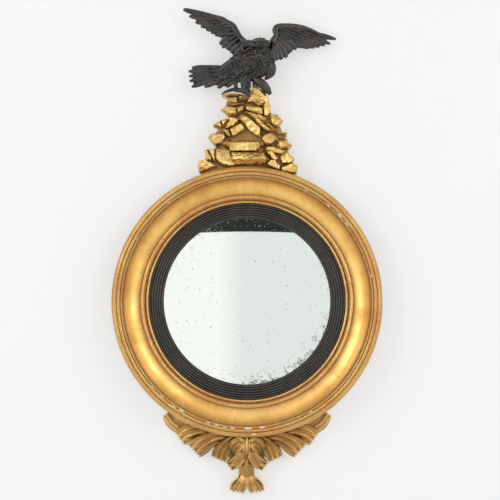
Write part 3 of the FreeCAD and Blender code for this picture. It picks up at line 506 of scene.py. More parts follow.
class Finishes:
    """Every finish of the mirror, made once."""

    def __init__(self) -> None:
        """Make the materials."""
        self.moulding = Gilding("water gilded moulding", leaf=rgb(0.97, 0.60, 0.19),
                                deep_leaf=rgb(0.76, 0.44, 0.125), rough=0.40, crazed=True, hollow=4.0).make()
        self.rock = Gilding("gilded rockwork", leaf=rgb(0.87, 0.60, 0.225), deep_leaf=rgb(0.55, 0.35, 0.12),
                            bole=rgb(0.20, 0.10, 0.04), rough=0.33, hollow=7.0, hollow_share=0.85,
                            pitting=0.9).make()
        self.leafage = Gilding("gilded leaf carving", leaf=rgb(0.84, 0.55, 0.20),
                               deep_leaf=rgb(0.55, 0.32, 0.10), bole=rgb(0.21, 0.10, 0.045), rough=0.36,
                               hollow=9.0, hollow_share=0.95, pitting=0.4).make()
        self.slip = Ebonising("ebonised slip", rub=rgb(0.10, 0.09, 0.08), dusty=0.06, shine=0.3,
                              hollow=3.0).make()
        self.feathers = Ebonising("bronzed black eagle", rub=rgb(0.15, 0.115, 0.08), gilt_share=0.3,
                                  gilt=rgb(0.30, 0.20, 0.09), rough=0.24, dusty=0.07, grain=4.2,
                                  shine=0.54, hollow=10.0, pitting=1.1).make()
        self.glass = OldMirror("silvered glass").make()
        self.pine = BareWood("old pine").make()
        self.pine_ring = BareWood("old pine ring", ring=True).make()
        self.oak = BareWood("oak dowel", rgb(0.30, 0.17, 0.08), rgb(0.15, 0.08, 0.035)).make()
        self.iron = OldMetal("wrought iron", rgb(0.10, 0.095, 0.09), rgb(0.05, 0.045, 0.042),
                             rgb(0.14, 0.05, 0.022), 0.5, 0.8).make()
        self.brass = OldMetal("tarnished brass", rgb(0.55, 0.37, 0.13), rgb(0.34, 0.22, 0.08),
                              rgb(0.10, 0.07, 0.035), 0.32).make()
        self.tin = OldMetal("tin amalgam", rgb(0.55, 0.56, 0.56), rgb(0.38, 0.39, 0.39),
                            rgb(0.20, 0.20, 0.19), 0.4).make()


# ---- making pieces -------------------------------------------------------------------
def dress_node(node: str, material: bpy.types.Material) -> None:
    """Give a CAD node its finish."""
    slots = frame["nodes"][node].data.materials
    slots.clear()
    slots.append(material)


def paint(mesh: bpy.types.Mesh, layer: Layer, values: Sequence[float]) -> None:
    """Write a surface state to every vertex."""
    mesh.attributes.new(layer.value, "FLOAT", "POINT").data.foreach_set("value", values)


def make_piece(shape: bmesh.types.BMesh, name: str, material: bpy.types.Material, slot: str,
               stands_for: Iterable[str] = (), sharp: float = 50.0,
               states: dict[Layer, Callable[[Vector], float]] | None = None) -> bpy.types.Object:
    """Turn a finished bmesh into a piece of the frame body.

    Args:
        shape: The shape, in metres in the row frame. It is freed.
        name: The piece's name.
        material: Its finish.
        slot: The record's material slot; not used.
        stands_for: CAD nodes that it replaces.
        sharp: Angle in degrees from which an edge stays crisp.
        states: Surface state from a vertex's place, by layer.

    Returns:
        The piece's object.
    """
    bmesh.ops.recalc_face_normals(shape, faces=shape.faces)
    mesh = bpy.data.meshes.new(name)
    shape.to_mesh(mesh)
    shape.free()
    mesh.materials.append(material)
    mesh.shade_smooth()
    mesh.set_sharp_from_angle(angle=math.radians(sharp))
    for layer in Layer:
        if layer.value not in mesh.attributes:
            rule = (states or {}).get(layer)
            paint(mesh, layer, [rule(vertex.co) if rule else 0.0 for vertex in mesh.vertices])
    piece = bpy.data.objects.new(name, mesh)
    bpy.context.scene.collection.objects.link(piece)
    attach(piece, "frame")
    if stands_for:
        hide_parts(*stands_for)
    LOG.info("%s: %d faces", name, len(mesh.polygons))
    return piece


# ---- turned rings --------------------------------------------------------------------
def bead(start: float, width: float, top: float, rise: float, steps: int = 7) -> list[Pair]:
    """Section points of a rounded bead, from its inner to its outer foot."""
    base = top - rise * width
    turns = [math.pi * index / (steps - 1) for index in range(steps)]
    return [(start + width / 2 * (1 - math.cos(turn)), base + rise * width * math.sin(turn))
            for turn in turns]


def arc(first: Pair, last: Pair, sag: float, steps: int) -> list[Pair]:
    """Section points of a shallow arc between two points, sag below its chord, ends left out."""
    run = Vector((last[0] - first[0], last[1] - first[1]))
    side = Vector((run.y, -run.x)).normalized()
    points = []
    for index in range(1, steps):
        share = index / steps
        spot = Vector(first) + run * share + side * (4 * sag * share * (1 - share))
        points.append((spot.x, spot.y))
    return points


@dataclass
class TurnedRing:
    """A ring turned from one section and made up from lengths with open hairline joints."""

    name: str
    node: str
    slot: str
    joints: tuple[float, ...]
    still_depth: float
    joint_gap: float = 0.12
    joint_drop: float = 0.2
    joint_dirt: float = 0.2
    gap_radius: float = 200.0
    groove: float = 0.5
    groove_spread: float = 1.4
    groove_radius: float = 240.0
    step: float = 0.6
    crisp: float = 35.0
    wobble: float = 0.12
    wobble_scale: float = 42.0
    crests: tuple[float, ...] = ()
    crest_reach: float = 1.6
    valleys: tuple[float, ...] = ()
    valley_reach: float = 1.5
    # dirt_and_shade: (radius, value) pairs for the DEEP layer, dirt together with painted shade.
    dirt_and_shade: tuple[Pair, ...] = ((0.0, 0.0),)
    chips: tuple[Triple, ...] = ()
    chip_stretch: float = 4.0
    chip_drop: float = 0.9

    def section(self) -> list[Pair]:
        """Radius and depth of the section's corners."""
        raise NotImplementedError

    def gap_angle(self, length: float) -> float:
        """Degrees that a length in millimetres along the ring takes."""
        return math.degrees(length / self.gap_radius)

    def nearness(self, point: Vector, circles: Iterable[float], reach: float) -> float:
        """How near a point lies to any of some circles about the axis."""
        radius = math.hypot(point.x, point.z) / MM
        return max((bump_shape(radius - circle, reach) for circle in circles), default=0.0)

    def at_joint(self, point: Vector) -> float:
        """How near a point lies to a joint between two lengths."""
        angle = math.degrees(math.atan2(point.z, point.x)) % 360.0
        apart = min(abs((angle - joint + 180.0) % 360.0 - 180.0) for joint in self.joints)
        return bump_shape(math.radians(apart) * self.groove_radius, self.groove * self.groove_spread)

    def chipped(self, point: Vector) -> float:
        """How near a point lies to the middle of a chip, given by its angle, radius and reach."""
        most = 0.0
        for angle, radius, size in self.chips:
            turn = math.radians(angle)
            middle = Vector((radius * math.cos(turn), radius * math.sin(turn))) * MM
            around = Vector((-math.sin(turn), math.cos(turn)))
            away = Vector((point.x, point.z)) - middle
            sideways = away.dot(around) / MM / self.chip_stretch
            outwards = away.dot(Vector((math.cos(turn), math.sin(turn)))) / MM
            most = max(most, bump_shape(math.hypot(sideways, outwards), size))
        return most

    def rough_out(self, start: float, sweep: float) -> bmesh.types.BMesh:
        """Spin the section through one length and close its ends.

        Args:
            start: Angle of the first end in degrees, anticlockwise seen from the front.
            sweep: Angle that it spans.

        Returns:
            The closed length.
        """
        shape = bmesh.new()
        corners = [shape.verts.new(at(radius, depth, 0.0)) for radius, depth in self.section()]
        edges = [shape.edges.new(pair) for pair in zip(corners, corners[1:] + corners[:1])]
        bmesh.ops.rotate(shape, verts=corners, cent=(0, 0, 0),
                         matrix=Matrix.Rotation(math.radians(-start), 3, "Y"))
        bmesh.ops.spin(shape, geom=corners + edges, cent=(0, 0, 0), axis=(0, -1, 0),
                       angle=math.radians(sweep), steps=max(8, round(sweep / self.step)))
        bmesh.ops.holes_fill(shape, edges=[edge for edge in shape.edges if edge.is_boundary])
        near = self.gap_angle(self.groove)
        for angle in (start + near, start + sweep - near):
            turn = math.radians(angle)
            bmesh.ops.bisect_plane(shape, geom=shape.verts[:] + shape.edges[:] + shape.faces[:],
                                   plane_co=(0, 0, 0), plane_no=(-math.sin(turn), 0, math.cos(turn)))
        return shape

    def weather(self, shape: bmesh.types.BMesh) -> None:
        """Give a length its hand-made unevenness, its joint grooves and its chips."""
        for vertex in shape.verts:
            if -vertex.co.y / MM <= self.still_depth:
                continue
            uneven = 0.5 + 0.5 * noise.noise(vertex.co * self.wobble_scale)
            drop = self.wobble * uneven * 2.0 + self.joint_drop * self.at_joint(vertex.co)
            drop += self.chip_drop * self.chipped(vertex.co)
            vertex.co.y += drop * MM

    def dirt_and_shade_at(self, point: Vector) -> float:
        """How much dirt and painted shade lies at a point: both from the table by its distance from the axis,
        painted shade in valleys and dirt at joints.
        """
        radius = math.hypot(point.x, point.z) / MM
        settled = 0.0
        for (inner, least), (outer, most) in zip(self.dirt_and_shade, self.dirt_and_shade[1:]):
            if inner <= radius <= outer:
                settled = least + (most - least) * (radius - inner) / (outer - inner)
        return max(settled, self.nearness(point, self.valleys, self.valley_reach),
                   self.joint_dirt * self.at_joint(point))

    def build(self, material: bpy.types.Material) -> None:
        """Make every length.

        Args:
            material: The ring's finish.
        """
        following = list(self.joints[1:]) + [self.joints[0] + 360.0]
        half = self.gap_angle(self.joint_gap / 2)
        states = {Layer.WORN: lambda point: self.nearness(point, self.crests, self.crest_reach),
                  Layer.DEEP: self.dirt_and_shade_at, Layer.CHIPPED: self.chipped}
        for index, (start, end) in enumerate(zip(self.joints, following), 1):
            shape = self.rough_out(start + half, end - start - 2 * half)
            self.weather(shape)
            make_piece(shape, f"{self.name}_{index}", material, self.slot,
                       [f"{self.node}_{index}"], self.crisp, states)


@dataclass
class GiltMoulding(TurnedRing):
    """Gilded front moulding: two inner beads, a wide hollow and three beads at the rim."""

    name: str = "gilded_moulding"
    node: str = "front_moulding_segment"
    slot: str = "water_gilding"
    joints: tuple[float, ...] = (14.0, 99.5, 150.0, 199.5, 264.0, 321.0)
    still_depth: float = 34.0
    crests: tuple[float, ...] = (203.9, 213.9, 254.8, 260.5, 267.2)
    # Dirt together with painted shade: dark in the fillet and quirk, between the beads and on the cove's
    # inner side.
    dirt_and_shade: tuple[Pair, ...] = (
        (200.0, 0.1), (205.2, 0.2), (206.0, 1.0), (208.9, 1.0), (210.2, 0.6), (212.0, 0.15),
        (216.0, 0.2), (217.4, 0.85), (219.0, 0.65), (223.0, 0.34), (228.0, 0.1), (232.0, 0.0),
        (242.0, 0.0), (248.0, 0.2), (250.4, 0.75), (252.4, 0.75), (254.0, 0.28), (257.0, 0.6),
        (259.5, 0.2), (263.8, 0.6), (267.0, 0.24), (272.0, 0.4), (276.0, 0.3))
    chips: tuple[Triple, ...] = (
        (270.5, 255.4, 4.2), (277.0, 255.0, 3.3), (263.5, 256.2, 3.0), (260.0, 256.4, 2.6),
        (256.0, 255.8, 2.8), (252.0, 256.2, 2.7), (239.0, 256.0, 3.4), (235.0, 257.4, 2.5),
        (228.0, 256.4, 2.5), (222.0, 256.6, 2.3), (300.0, 256.2, 2.7), (38.0, 256.4, 2.9),
        (43.0, 256.8, 3.3), (50.0, 256.2, 2.7), (62.0, 256.6, 2.2), (12.0, 256.8, 2.1),
        (330.0, 256.4, 2.2), (128.0, 256.6, 2.4), (150.0, 256.4, 2.2), (273.0, 267.0, 2.2))
    bead_rise: float = 0.46
    lip: tuple[Pair, ...] = ((205.6, 32.0), (205.6, 38.0), (201.6, 38.0))
    sight_bead: Triple = (201.6, 4.6, 44.0)
    fillet: tuple[Pair, ...] = ((206.3, 40.0), (208.1, 40.0), (208.3, 41.3), (210.6, 41.5))
    inner_bead: Triple = (210.8, 6.3, 46.5)
    foot: Pair = (217.2, 41.0)
    cove: tuple[Pair, Pair] = ((218.0, 41.0), (250.3, 68.0))
    cove_sag: float = 6.3
    quirk: tuple[Pair, ...] = ((250.4, 66.8), (252.4, 66.8))
    rim_beads: tuple[Triple, ...] = ((252.5, 4.7, 70.5), (257.3, 6.5, 74.0), (263.9, 6.6, 72.0))
    edge: tuple[Pair, ...] = ((270.6, 65.5), (273.4, 62.6), (275.3, 58.4), (275.7, 55.6), (275.7, 40.0),
                              (272.2, 32.0))

    def section(self) -> list[Pair]:
        """Radius and depth of the section's corners."""
        start, end = self.cove
        points = list(self.lip) + bead(*self.sight_bead, self.bead_rise) + list(self.fillet)
        points += bead(*self.inner_bead, self.bead_rise) + [self.foot, start]
        points += arc(start, end, self.cove_sag, 16) + [end, *self.quirk]
        for rim_bead in self.rim_beads:
            points += bead(*rim_bead, self.bead_rise)
        return points + list(self.edge)


@dataclass
class ReededSlip(TurnedRing):
    """Ebonised slip: six reeds that step down to the sight edge."""

    name: str = "reeded_slip"
    node: str = "slip_segment"
    slot: str = "ebonised_slip"
    joints: tuple[float, ...] = (5.0, 101.0, 259.0)
    still_depth: float = 33.0
    wobble: float = 0.05
    sight: float = 172.1
    reeds: int = 6
    reed_width: float = 4.87
    reed_crest: float = 2.4
    swell: float = 1.6
    face_depth: float = 39.5
    sight_depth: float = 32.0
    glass_rebate: tuple[Pair, ...] = ((179.0, 28.7), (179.0, 24.3), (185.7, 24.3), (185.7, 32.0))
    tongue: tuple[Pair, Pair] = ((205.3, 32.0), (205.3, 37.7))

    def __post_init__(self) -> None:
        """Place the rubbed crests of the reeds and the painted shade in their valleys."""
        self.crests = tuple(self.sight + self.reed_crest + self.reed_width * reed
                            for reed in range(self.reeds))
        self.valleys = tuple(self.sight + self.reed_width * reed for reed in range(1, self.reeds + 1))

    def section(self) -> list[Pair]:
        """Radius and depth of the section's corners."""
        face = self.sight + self.reeds * self.reed_width
        fall = (self.face_depth - self.sight_depth) / self.reeds
        _, over_glass = self.glass_rebate[0]
        _, over_tongue = self.tongue[1]
        points = [(self.sight, over_glass), *self.glass_rebate, *self.tongue, (face, over_tongue),
                  (face, self.face_depth)]
        for reed in range(self.reeds):
            outer = (face - reed * self.reed_width, self.face_depth - reed * fall)
            inner = (outer[0] - self.reed_width, outer[1] - fall)
            points += arc(outer, inner, -self.swell, 7) + [inner]
        return points[:-1] + [(self.sight, self.sight_depth)]


@dataclass
class MirrorGlass:
    """The convex plate."""

    radius: float = 178.0
    thick: float = 3.0
    rise: float = 16.0
    edge_depth: float = 27.3
    rings: int = 40
    step: float = 2.0

    def front(self, radius: float) -> float:
        """Depth of the front sphere at a radius."""
        curve = (self.radius ** 2 + self.rise ** 2) / (2 * self.rise)
        return self.edge_depth + self.rise - curve + math.sqrt(curve ** 2 - radius ** 2)

    def build(self, material: bpy.types.Material) -> None:
        """Spin the plate's section about its axis.

        Args:
            material: The glass.
        """
        radii = [self.radius * index / self.rings for index in range(self.rings + 1)]
        section = [(radius, self.front(radius)) for radius in radii]
        section += [(radius, self.front(radius) - self.thick) for radius in reversed(radii)]
        shape = bmesh.new()
        corners = [shape.verts.new(at(radius, depth, 0.0)) for radius, depth in section]
        edges = [shape.edges.new(pair) for pair in zip(corners, corners[1:])]
        bmesh.ops.spin(shape, geom=corners + edges, cent=(0, 0, 0), axis=(0, -1, 0),
                       angle=math.tau, steps=round(360 / self.step), use_merge=True)
        bmesh.ops.remove_doubles(shape, verts=shape.verts, dist=1e-6)
        make_piece(shape, "convex_mirror", material, "silvered_glass", ["convex_mirror_plate"], 30.0)


# ---- carved forms --------------------------------------------------------------------
def unpainted(across: float, along: float) -> Pair:
    """State of a surface that is neither worn nor deep."""
    return (0.0, 0.0)


def shaped_grid(across: int, along: int, place: Callable[[float, float], Vector],
                state: Callable[[float, float], Pair] = unpainted) -> bmesh.types.BMesh:
    """Bend a flat grid into a surface.

    Args:
        across: Cells across.
        along: Cells along.
        place: Point for a share across, 0 to 1, and a share along, 0 to 1.
        state: How worn it is there, and how much dirt and painted shade it carries.

    Returns:
        The open surface.
    """
    shape = bmesh.new()
    bmesh.ops.create_grid(shape, x_segments=across, y_segments=along, size=0.5)
    worn = shape.verts.layers.float.new(Layer.WORN.value)
    deep = shape.verts.layers.float.new(Layer.DEEP.value)
    for vertex in shape.verts:
        u, v = clamp(vertex.co.x + 0.5), clamp(vertex.co.y + 0.5)
        vertex[worn], vertex[deep] = state(u, v)
        vertex.co = place(u, v)
    return shape


def new_verts(grown: Sequence[object]) -> list[bmesh.types.BMVert]:
    """Vertices among what an operator made."""
    return [part for part in grown if isinstance(part, bmesh.types.BMVert)]


def close_holes(shape: bmesh.types.BMesh) -> None:
    """Fill every open edge loop."""
    bmesh.ops.holes_fill(shape, edges=[edge for edge in shape.edges if edge.is_boundary])


def prism(corners: Sequence[Vector], thick: float, deep: float) -> bmesh.types.BMesh:
    """Flat-faced block.

    Args:
        corners: Corners of its back.
        thick: How far it comes forward from there, in millimetres.
        deep: The dirt and painted shade that its whole surface carries.

    Returns:
        The closed block.
    """
    shape = bmesh.new()
    shape.verts.layers.float.new(Layer.WORN.value)
    shape.verts.layers.float.new(Layer.DEEP.value)
    base = shape.faces.new([shape.verts.new(corner) for corner in corners])
    for vertex in new_verts(bmesh.ops.extrude_face_region(shape, geom=[base])["geom"]):
        vertex.co.y -= thick * MM
    layer = shape.verts.layers.float[Layer.DEEP.value]
    for vertex in shape.verts:
        vertex[layer] = deep
    return shape


def backed(shape: bmesh.types.BMesh, depth: float) -> bmesh.types.BMesh:
    """Close an open front surface with sides that run back to a flat back.

    Args:
        shape: The surface.
        depth: Depth of the flat back in millimetres.

    Returns:
        The same shape, closed.
    """
    rim = [edge for edge in shape.edges if edge.is_boundary]
    for vertex in new_verts(bmesh.ops.extrude_edge_only(shape, edges=rim)["geom"]):
        vertex.co.y = -depth * MM
    close_holes(shape)
    return shape


def curve_at(points: Sequence[Sequence[float]], share: float) -> list[float]:
    """Values on a smooth curve through some points of any number of values."""
    span = share * (len(points) - 1)
    index = min(int(span), len(points) - 2)
    local = span - index
    before, here = points[max(index - 1, 0)], points[index]
    after, beyond = points[index + 1], points[min(index + 2, len(points) - 1)]
    return [0.5 * (2 * b + (c - a) * local + (2 * a - 5 * b + 4 * c - d) * local ** 2
                   + (3 * b - a - 3 * c + d) * local ** 3)
            for a, b, c, d in zip(before, here, after, beyond)]


def clear_of_frame(shape: bmesh.types.BMesh, gap: float = 0.3) -> None:
    """Seat a carving against the round frame, so that nothing lies inside its rim."""
    limit = (FRAME_RADIUS + gap) * MM
    for vertex in shape.verts:
        radius = math.hypot(vertex.co.x, vertex.co.z)
        if radius < limit:
            vertex.co.x *= limit / radius
            vertex.co.z *= limit / radius


@dataclass
class Carving:
    """Collects carved lumps into one piece."""

    whole: bmesh.types.BMesh = field(default_factory=bmesh.new)

    def take(self, shape: bmesh.types.BMesh) -> None:
        """Add a closed lump and free it."""
        bmesh.ops.recalc_face_normals(shape, faces=shape.faces)
        lump = bpy.data.meshes.new("lump")
        shape.to_mesh(lump)
        shape.free()
        self.whole.from_mesh(lump)
        bpy.data.meshes.remove(lump)


# ---- rockwork ------------------------------------------------------------------------
@dataclass(frozen=True)
class Stone:
    """One stone: depth at which its sides end, its outline (x, height) and its front corners."""

    side: float
    outline: tuple[Pair, ...]
    front: tuple[Triple, ...]


# The stones' corners were picked on an enlarged crop of the photograph's crest. They stand here as picked, in
# pixels from the crop's left and top edge, and the depths are millimetres.
CROP_PIXEL = 0.1494
CROP_LEFT = -116.1
CROP_TOP = 186.3


def picked(across: float, down: float) -> tuple[int, int]:
    """Place (x, height) of a pixel of the crop, kept to tenths and then to whole millimetres."""
    x = round(across * CROP_PIXEL + CROP_LEFT, 1)
    height = round(CROP_TOP - down * CROP_PIXEL, 1)
    return round(x), round(height)


def traced(side: float, outline: Sequence[Pair], front: Sequence[Triple]) -> Stone:
    """Stone from its picked corners.

    Args:
        side: Depth at which its sides end.
        outline: Pixels of its outline.
        front: Pixels of its front corners, each with its depth.

    Returns:
        The stone in millimetres.
    """
    return Stone(side, tuple(picked(*corner) for corner in outline),
                 tuple((*picked(across, down), depth) for across, down, depth in front))


STONES = (
    traced(52, ((115, 1180), (150, 1158), (215, 1160), (345, 1212), (368, 1245), (130, 1325), (112, 1290)),
           ((140, 1190, 58), (340, 1228, 60), (140, 1245, 61), (300, 1250, 60), (145, 1300, 56))),
    traced(46, ((193, 1025), (240, 1010), (300, 1100), (312, 1182), (215, 1152)),
           ((225, 1035, 54), (290, 1160, 56), (275, 1165, 52))),
    traced(48, ((238, 1010), (332, 998), (352, 1040), (356, 1165), (312, 1185)),
           ((322, 1015, 58), (336, 1150, 58), (300, 1030, 54))),
    traced(56, ((345, 1040), (380, 1008), (470, 998), (548, 1020), (556, 1130), (605, 1228), (470, 1238),
                (400, 1222), (352, 1150)),
           ((372, 1065, 66), (440, 1035, 64), (528, 1048, 66), (535, 1130, 64), (580, 1205, 60),
            (450, 1215, 63), (375, 1160, 65))),
    traced(56, ((572, 1045), (1000, 1053), (1078, 1150), (1012, 1218), (625, 1220), (566, 1150)),
           ((590, 1060, 62), (985, 1065, 62), (585, 1122, 72), (1008, 1118, 72), (600, 1160, 71),
            (1015, 1162, 70), (640, 1212, 60), (1005, 1210, 60))),
    traced(50, ((550, 883), (988, 903), (990, 960), (935, 985), (892, 1046), (553, 1042)),
           ((566, 930, 68), (930, 926, 68), (890, 1036, 66), (566, 1034, 67), (560, 890, 55),
            (975, 912, 54))),
    traced(52, ((536, 735), (700, 652), (745, 680), (764, 745), (592, 850), (568, 835)),
           ((556, 742, 62), (700, 664, 62), (716, 690, 60), (745, 735, 61), (596, 832, 61))),
    traced(54, ((663, 575), (712, 535), (800, 580), (948, 712), (966, 852), (905, 838), (785, 748),
                (702, 650)),
           ((684, 575, 64), (716, 552, 65), (795, 596, 66), (936, 728, 66), (945, 832, 63),
            (905, 825, 62), (795, 735, 62), (712, 640, 62))),
    traced(46, ((868, 600), (925, 585), (1104, 738), (1075, 775), (1000, 765), (880, 670)),
           ((895, 610, 58), (930, 602, 58), (1092, 742, 58), (1050, 765, 55), (930, 680, 54))),
    traced(42, ((740, 490), (860, 500), (1010, 545), (1062, 600), (930, 640), (800, 585), (735, 530)),
           ((770, 500, 50), (1000, 560, 50), (930, 620, 46))),
    traced(46, ((758, 430), (788, 400), (988, 438), (992, 540), (955, 548), (768, 484)),
           ((768, 440, 60), (800, 415, 56), (978, 450, 58), (985, 530, 60), (775, 476, 60))),
    traced(38, ((770, 372), (850, 352), (1010, 372), (1020, 420), (980, 435), (790, 400)),
           ((850, 372, 48), (1000, 385, 48), (900, 410, 44))),
    traced(40, ((848, 163), (905, 160), (1035, 238), (1062, 300), (1010, 345), (1085, 402), (960, 402),
                (758, 385), (808, 280)),
           ((870, 182, 52), (905, 178, 50), (1005, 262, 50), (985, 330, 52), (880, 345, 54),
            (800, 362, 50), (830, 285, 50))),
    traced(38, ((1035, 330), (1098, 395), (1104, 500), (1080, 562), (1000, 552), (982, 430), (1005, 365)),
           ((1035, 380, 52), (1070, 430, 50), (1070, 510, 48), (1015, 535, 50), (1005, 440, 52))),
    traced(38, ((438, 272), (520, 234), (640, 238), (705, 262), (640, 292), (520, 302), (470, 292)),
           ((480, 262, 50), (530, 248, 52), (650, 252, 52), (640, 280, 48), (500, 288, 46))),
    traced(42, ((510, 298), (560, 288), (640, 290), (655, 350), (620, 395), (505, 372)),
           ((530, 312, 54), (630, 305, 56), (640, 350, 56), (615, 378, 52), (520, 360, 50))),
    traced(40, ((640, 288), (700, 280), (772, 318), (745, 350), (650, 372)),
           ((660, 298, 56), (700, 292, 54), (755, 320, 54), (665, 345, 52))),
    traced(36, ((500, 368), (620, 390), (745, 352), (738, 420), (600, 440), (478, 428)),
           ((520, 385, 44), (620, 402, 46), (730, 372, 46), (600, 425, 44))),
    traced(44, ((425, 465), (505, 418), (620, 432), (650, 460), (640, 548), (520, 535), (455, 492)),
           ((460, 462, 54), (515, 436, 54), (620, 448, 56), (610, 520, 52), (520, 515, 52))),
    traced(44, ((620, 432), (735, 405), (742, 478), (690, 520), (640, 545)),
           ((645, 445, 56), (722, 422, 56), (728, 470, 54), (655, 505, 54))),
    traced(44, ((316, 662), (345, 640), (420, 618), (450, 700), (440, 718), (350, 702), (318, 690)),
           ((335, 665, 54), (405, 635, 54), (430, 698, 54), (350, 690, 52))),
    traced(42, ((418, 612), (470, 600), (530, 590), (505, 640), (440, 720)),
           ((430, 625, 56), (510, 605, 54), (450, 690, 54))),
    traced(38, ((480, 575), (560, 552), (660, 560), (690, 640), (600, 700), (470, 745), (440, 730),
                (500, 640)),
           ((560, 575, 48), (650, 590, 46), (600, 670, 46), (480, 725, 46))),
    traced(40, ((430, 755), (470, 725), (545, 735), (572, 835), (500, 852), (455, 800)),
           ((470, 745, 52), (535, 750, 52), (550, 825, 50), (500, 835, 48))),
    traced(44, ((246, 842), (290, 800), (450, 788), (488, 840), (440, 945), (340, 962), (280, 890)),
           ((285, 838, 56), (330, 812, 56), (440, 802, 58), (468, 845, 58), (425, 925, 54),
            (350, 930, 54))),
    traced(44, ((430, 905), (545, 885), (552, 1030), (500, 1015), (425, 955)),
           ((455, 918, 56), (535, 905, 56), (538, 1000, 52), (470, 960, 52))),
    traced(38, ((340, 960), (440, 950), (545, 1012), (480, 1020), (345, 1012)),
           ((370, 970, 46), (440, 965, 46), (500, 1005, 46))),
    traced(42, ((1080, 630), (1105, 520), (1190, 532), (1268, 610), (1200, 715), (1130, 690)),
           ((1110, 600, 54), (1190, 560, 48), (1245, 612, 52), (1195, 690, 54), (1120, 655, 56))),
    traced(36, ((1000, 640), (1080, 620), (1180, 720), (1190, 770), (1110, 790), (1040, 770)),
           ((1040, 660, 44), (1090, 650, 44), (1160, 750, 44))),
    traced(34, ((1155, 775), (1200, 762), (1328, 770), (1322, 818), (1280, 830), (1170, 808)),
           ((1180, 780, 46), (1300, 778, 46), (1305, 805, 44), (1200, 800, 45))),
    traced(36, ((1180, 815), (1300, 825), (1330, 880), (1280, 890), (1200, 870)),
           ((1200, 830, 42), (1290, 845, 42))),
    traced(50, ((970, 850), (1020, 800), (1110, 788), (1195, 850), (1192, 895), (1110, 948), (1030, 944),
                (980, 895)),
           ((1000, 845, 58), (1040, 815, 60), (1100, 808, 60), (1175, 855, 60), (1175, 885, 58),
            (1105, 930, 58), (1035, 925, 58))),
    traced(42, ((1165, 960), (1200, 898), (1290, 878), (1395, 955), (1340, 1005), (1220, 1015)),
           ((1195, 950, 52), (1215, 912, 54), (1285, 895, 54), (1370, 952, 50), (1240, 1000, 50))),
    traced(40, ((1000, 960), (1110, 950), (1220, 1010), (1330, 1020), (1250, 1090), (1130, 1070),
                (1010, 1030)),
           ((1050, 980, 48), (1110, 970, 50), (1300, 1030, 48), (1240, 1070, 48), (1060, 1030, 50))),
    traced(50, ((1010, 1040), (1125, 1035), (1215, 1140), (1160, 1180), (1080, 1130)),
           ((1040, 1050, 60), (1115, 1048, 62), (1200, 1140, 62), (1155, 1160, 62))),
    traced(48, ((1010, 1225), (1090, 1150), (1165, 1150), (1240, 1240), (1232, 1300), (1130, 1268)),
           ((1050, 1215, 60), (1100, 1170, 62), (1155, 1165, 62), (1220, 1240, 60), (1215, 1285, 58))),
    traced(46, ((1215, 1120), (1250, 1080), (1330, 1030), (1428, 1140), (1360, 1205), (1250, 1215)),
           ((1240, 1120, 56), (1330, 1050, 54), (1405, 1140, 52), (1350, 1190, 56), (1260, 1190, 58))),
    traced(50, ((1236, 1295), (1255, 1238), (1390, 1195), (1464, 1235), (1456, 1345), (1300, 1335)),
           ((1262, 1258, 58), (1390, 1212, 60), (1446, 1244, 60), (1440, 1325, 58), (1290, 1315, 58),
            (1258, 1295, 58))),
)


